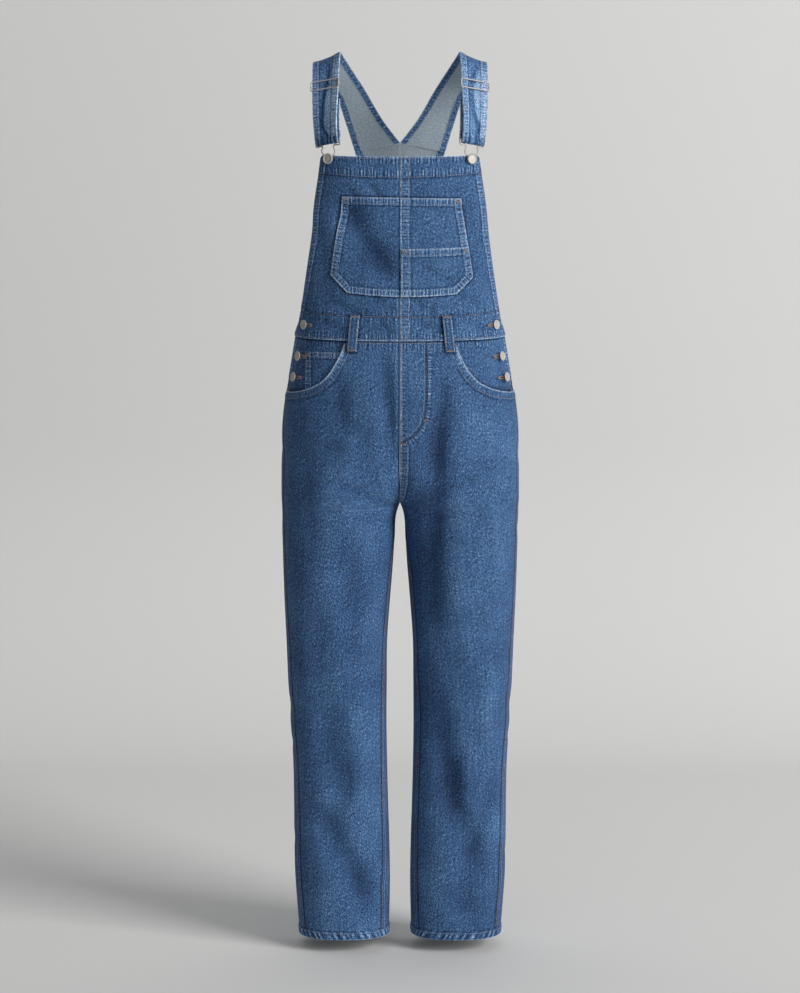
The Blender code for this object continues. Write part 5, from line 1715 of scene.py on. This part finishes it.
# Bar tacks and buttonholes
def makeTacks():
    # short bars of thread where the pockets and openings end
    bars = []

    def add(x, z, angle, length, lift):
        sign = -1.0 if x < 0 else 1.0
        point, normal = frontPoint(abs(x), z, sign)
        right = unit(np.cross((0.0, 0.0, 1.0), normal) * -1.0)
        right = right * np.sign(right[0])
        along = cos(angle) * right + sin(angle) * np.array((0.0, 0.0, 1.0))
        bars.append(tack(point + normal * lift, normal, along, length))

    (t, a0, b0), (m, _, b1) = pocket["outline"][:2]
    top = pocket["smallTop"]
    edge = float(np.interp(top, [m, t], [b1, b0]))
    for level, ends, length, lift in (
        (t - 0.0045, (a0 + 0.0055, b0 - 0.0055), 0.0085, 0.0028),
        (top - 0.0045, (pocket["smallStart"] + 0.006, edge - 0.006), 0.0080, 0.0046),
    ):
        for x in ends:
            add(x, float(level - pocketDrop(x, level)), 0.0, length, lift)
    add(0.0070, -0.3735, 0.0, 0.0085, 0.0026)
    add(0.0065, -0.6035, 0.0, 0.0085, 0.0010)
    add(0.0402, -0.5660, 0.25, 0.0080, 0.0012)
    add(-coin["outer"] + 0.0045, coin["top"] - 0.0040, 0.0, 0.0080, -0.0010)
    for sign in (-1.0, 1.0):
        add(sign * 0.0878, -0.4520, radians(-70) * sign, 0.0075, 0.0010)
        add(sign * 0.1745, -0.5245, radians(80) * sign, 0.0070, 0.0010)
    sewing("bar_tacks", bars, "copper")


def makeButtonholes():
    # a bound slot beside each side button: stitches set close round a long oval
    for side, sign in sides:
        rings = []
        for place, x, z in buttons["sideAt"]:
            angle = 2 * pi * np.arange(64) / 64
            halfLength, halfHeight = 0.0085, 0.0019
            ovalX = x - 0.0035 + halfLength * np.sign(np.cos(angle)) * np.abs(np.cos(angle)) ** 0.7
            ovalZ = z + halfHeight * np.sin(angle)
            share = np.minimum(shareAt(ovalZ, ovalX), 0.995)
            point, normal = drape(ovalZ, share, False, sign)[:2]
            sunk = 0.0002 if place == "waist" else -0.0006
            ahead = unit(np.roll(point, -1, 0) - np.roll(point, 1, 0))
            across = np.cross(ahead, normal)
            rings.append(beads(point + normal * (0.0012 + sunk), across, normal, 0.0021, 0.00045))
        sewing("buttonholes_" + side, rings, "copper")


makeTacks()
makeButtonholes()
print("tacks ready")


# Studio: a pale sweep that curves up behind, soft lights, and the camera
studio = {
    "floor": -1.4340, "wall": 1.90, "curve": 0.60, "halfWidth": 6.0, "front": -6.0, "height": 4.0,
    "solid": 2.6, "gone": 4.8, "ambient": 0.13, "seen": 0.60,
    # name, place, what it is aimed at, size, power, colour
    "lights": (
        ("key", (6.2, -4.6, 2.4), (-1.2, 0.0, -0.9), (3.8, 4.6), 725.0, (1.0, 0.99, 0.97)),
        ("fill", (-1.6, -4.6, 0.4), (0.0, 0.4, -0.8), (2.4, 2.8), 14.0, (0.97, 0.98, 1.0)),
        ("top", (0.2, 0.1, 2.6), (0.0, 0.3, -0.8), (3.4, 2.6), 17.0, (1.0, 1.0, 1.0)),
        ("rear", (-1.9, 1.8, 1.7), (0.0, 0.0, -0.7), (3.0, 2.4), 14.0, (1.0, 1.0, 1.0)),
    ),
    "elevation": 7.5, "distance": 5.0, "lens": 140.625, "aim": (0.0, 0.01, -0.70),
}


def makeSweep():
    # floor, curve and wall drawn out along X; from behind the wall can't be seen, and the floor fades far out
    foot, curve, floor = studio["wall"] - studio["curve"], studio["curve"], studio["floor"]
    angle = np.linspace(0, pi / 2, 25)[1:]
    level = np.linspace(studio["front"], foot, 30)
    y = np.concatenate([level, foot + curve * np.sin(angle), [studio["wall"]]])
    z = np.concatenate([np.full(30, floor), floor + curve * (1 - np.cos(angle)), [studio["height"]]])
    x = np.linspace(-studio["halfWidth"], studio["halfWidth"], 25)
    grid = np.stack(np.broadcast_arrays(x[None], y[:, None], z[:, None]), -1)
    quads = gridFaces(*grid.shape[:2])[1]
    mesh = bpy.data.meshes.new("sweep")
    mesh.from_pydata(grid.reshape(-1, 3).tolist(), [], quads.tolist())
    mesh.shade_smooth()
    paint = Paint("paper", 0.9)
    place = paint.add("TexCoord", output=3)
    paint.colour(paint.noise(place, 0.6, 1.0), ((0.0, (0.668, 0.668, 0.664)), (1.0, (0.708, 0.708, 0.704))))
    behind = paint.add("NewGeometry", output=6)
    x, y = paint.split(place)[:2]
    near, far = studio["solid"] ** 2, studio["gone"] ** 2
    kept = ((x * x + y * y) * (-1 / (far - near)) + far / (far - near)).clamp()
    paint.give("Alpha", (1.0 - behind) * kept)
    mesh.materials.append(paint.material)
    sweep = bpy.data.objects.new("sweep", mesh)
    scene.collection.objects.link(sweep)


def makeLight(name, place, target, size, power, colour):
    data = bpy.data.lights.new(name, "AREA")
    data.shape = "RECTANGLE"
    data.size, data.size_y = size
    data.energy = power
    data.color = colour
    light = bpy.data.objects.new(name, data)
    light.location = place
    aim = np.array(target) - np.array(place)
    light.rotation_euler = Vector(aim).to_track_quat("-Z", "Y").to_euler()
    scene.collection.objects.link(light)


def makeStudio():
    makeSweep()
    for light in studio["lights"]:
        makeLight(*light)
    world = bpy.data.worlds.new("studio")
    world.use_nodes = True
    tree = world.node_tree
    background = tree.nodes["Background"]
    background.inputs["Color"].default_value = (0.95, 0.97, 1.0, 1.0)
    seen = tree.nodes.new("ShaderNodeLightPath").outputs["Is Camera Ray"]
    strength = Sum(tree, seen) * (studio["seen"] - studio["ambient"]) + studio["ambient"]
    tree.links.new(strength.out, background.inputs["Strength"])
    scene.world = world
    scene.view_settings.view_transform = "Standard"
    elevation, distance = radians(studio["elevation"]), studio["distance"]
    data = bpy.data.cameras.new("camera")
    data.sensor_fit, data.sensor_width, data.lens = "HORIZONTAL", 36.0, studio["lens"]
    data.dof.use_dof = False
    camera = bpy.data.objects.new("camera", data)
    x, y, z = studio["aim"]
    camera.location = (x, y - distance * cos(elevation), z + distance * sin(elevation))
    camera.rotation_euler = (pi / 2 - elevation, 0.0, 0.0)
    scene.collection.objects.link(camera)
    scene.camera = camera


makeStudio()
print("studio ready")
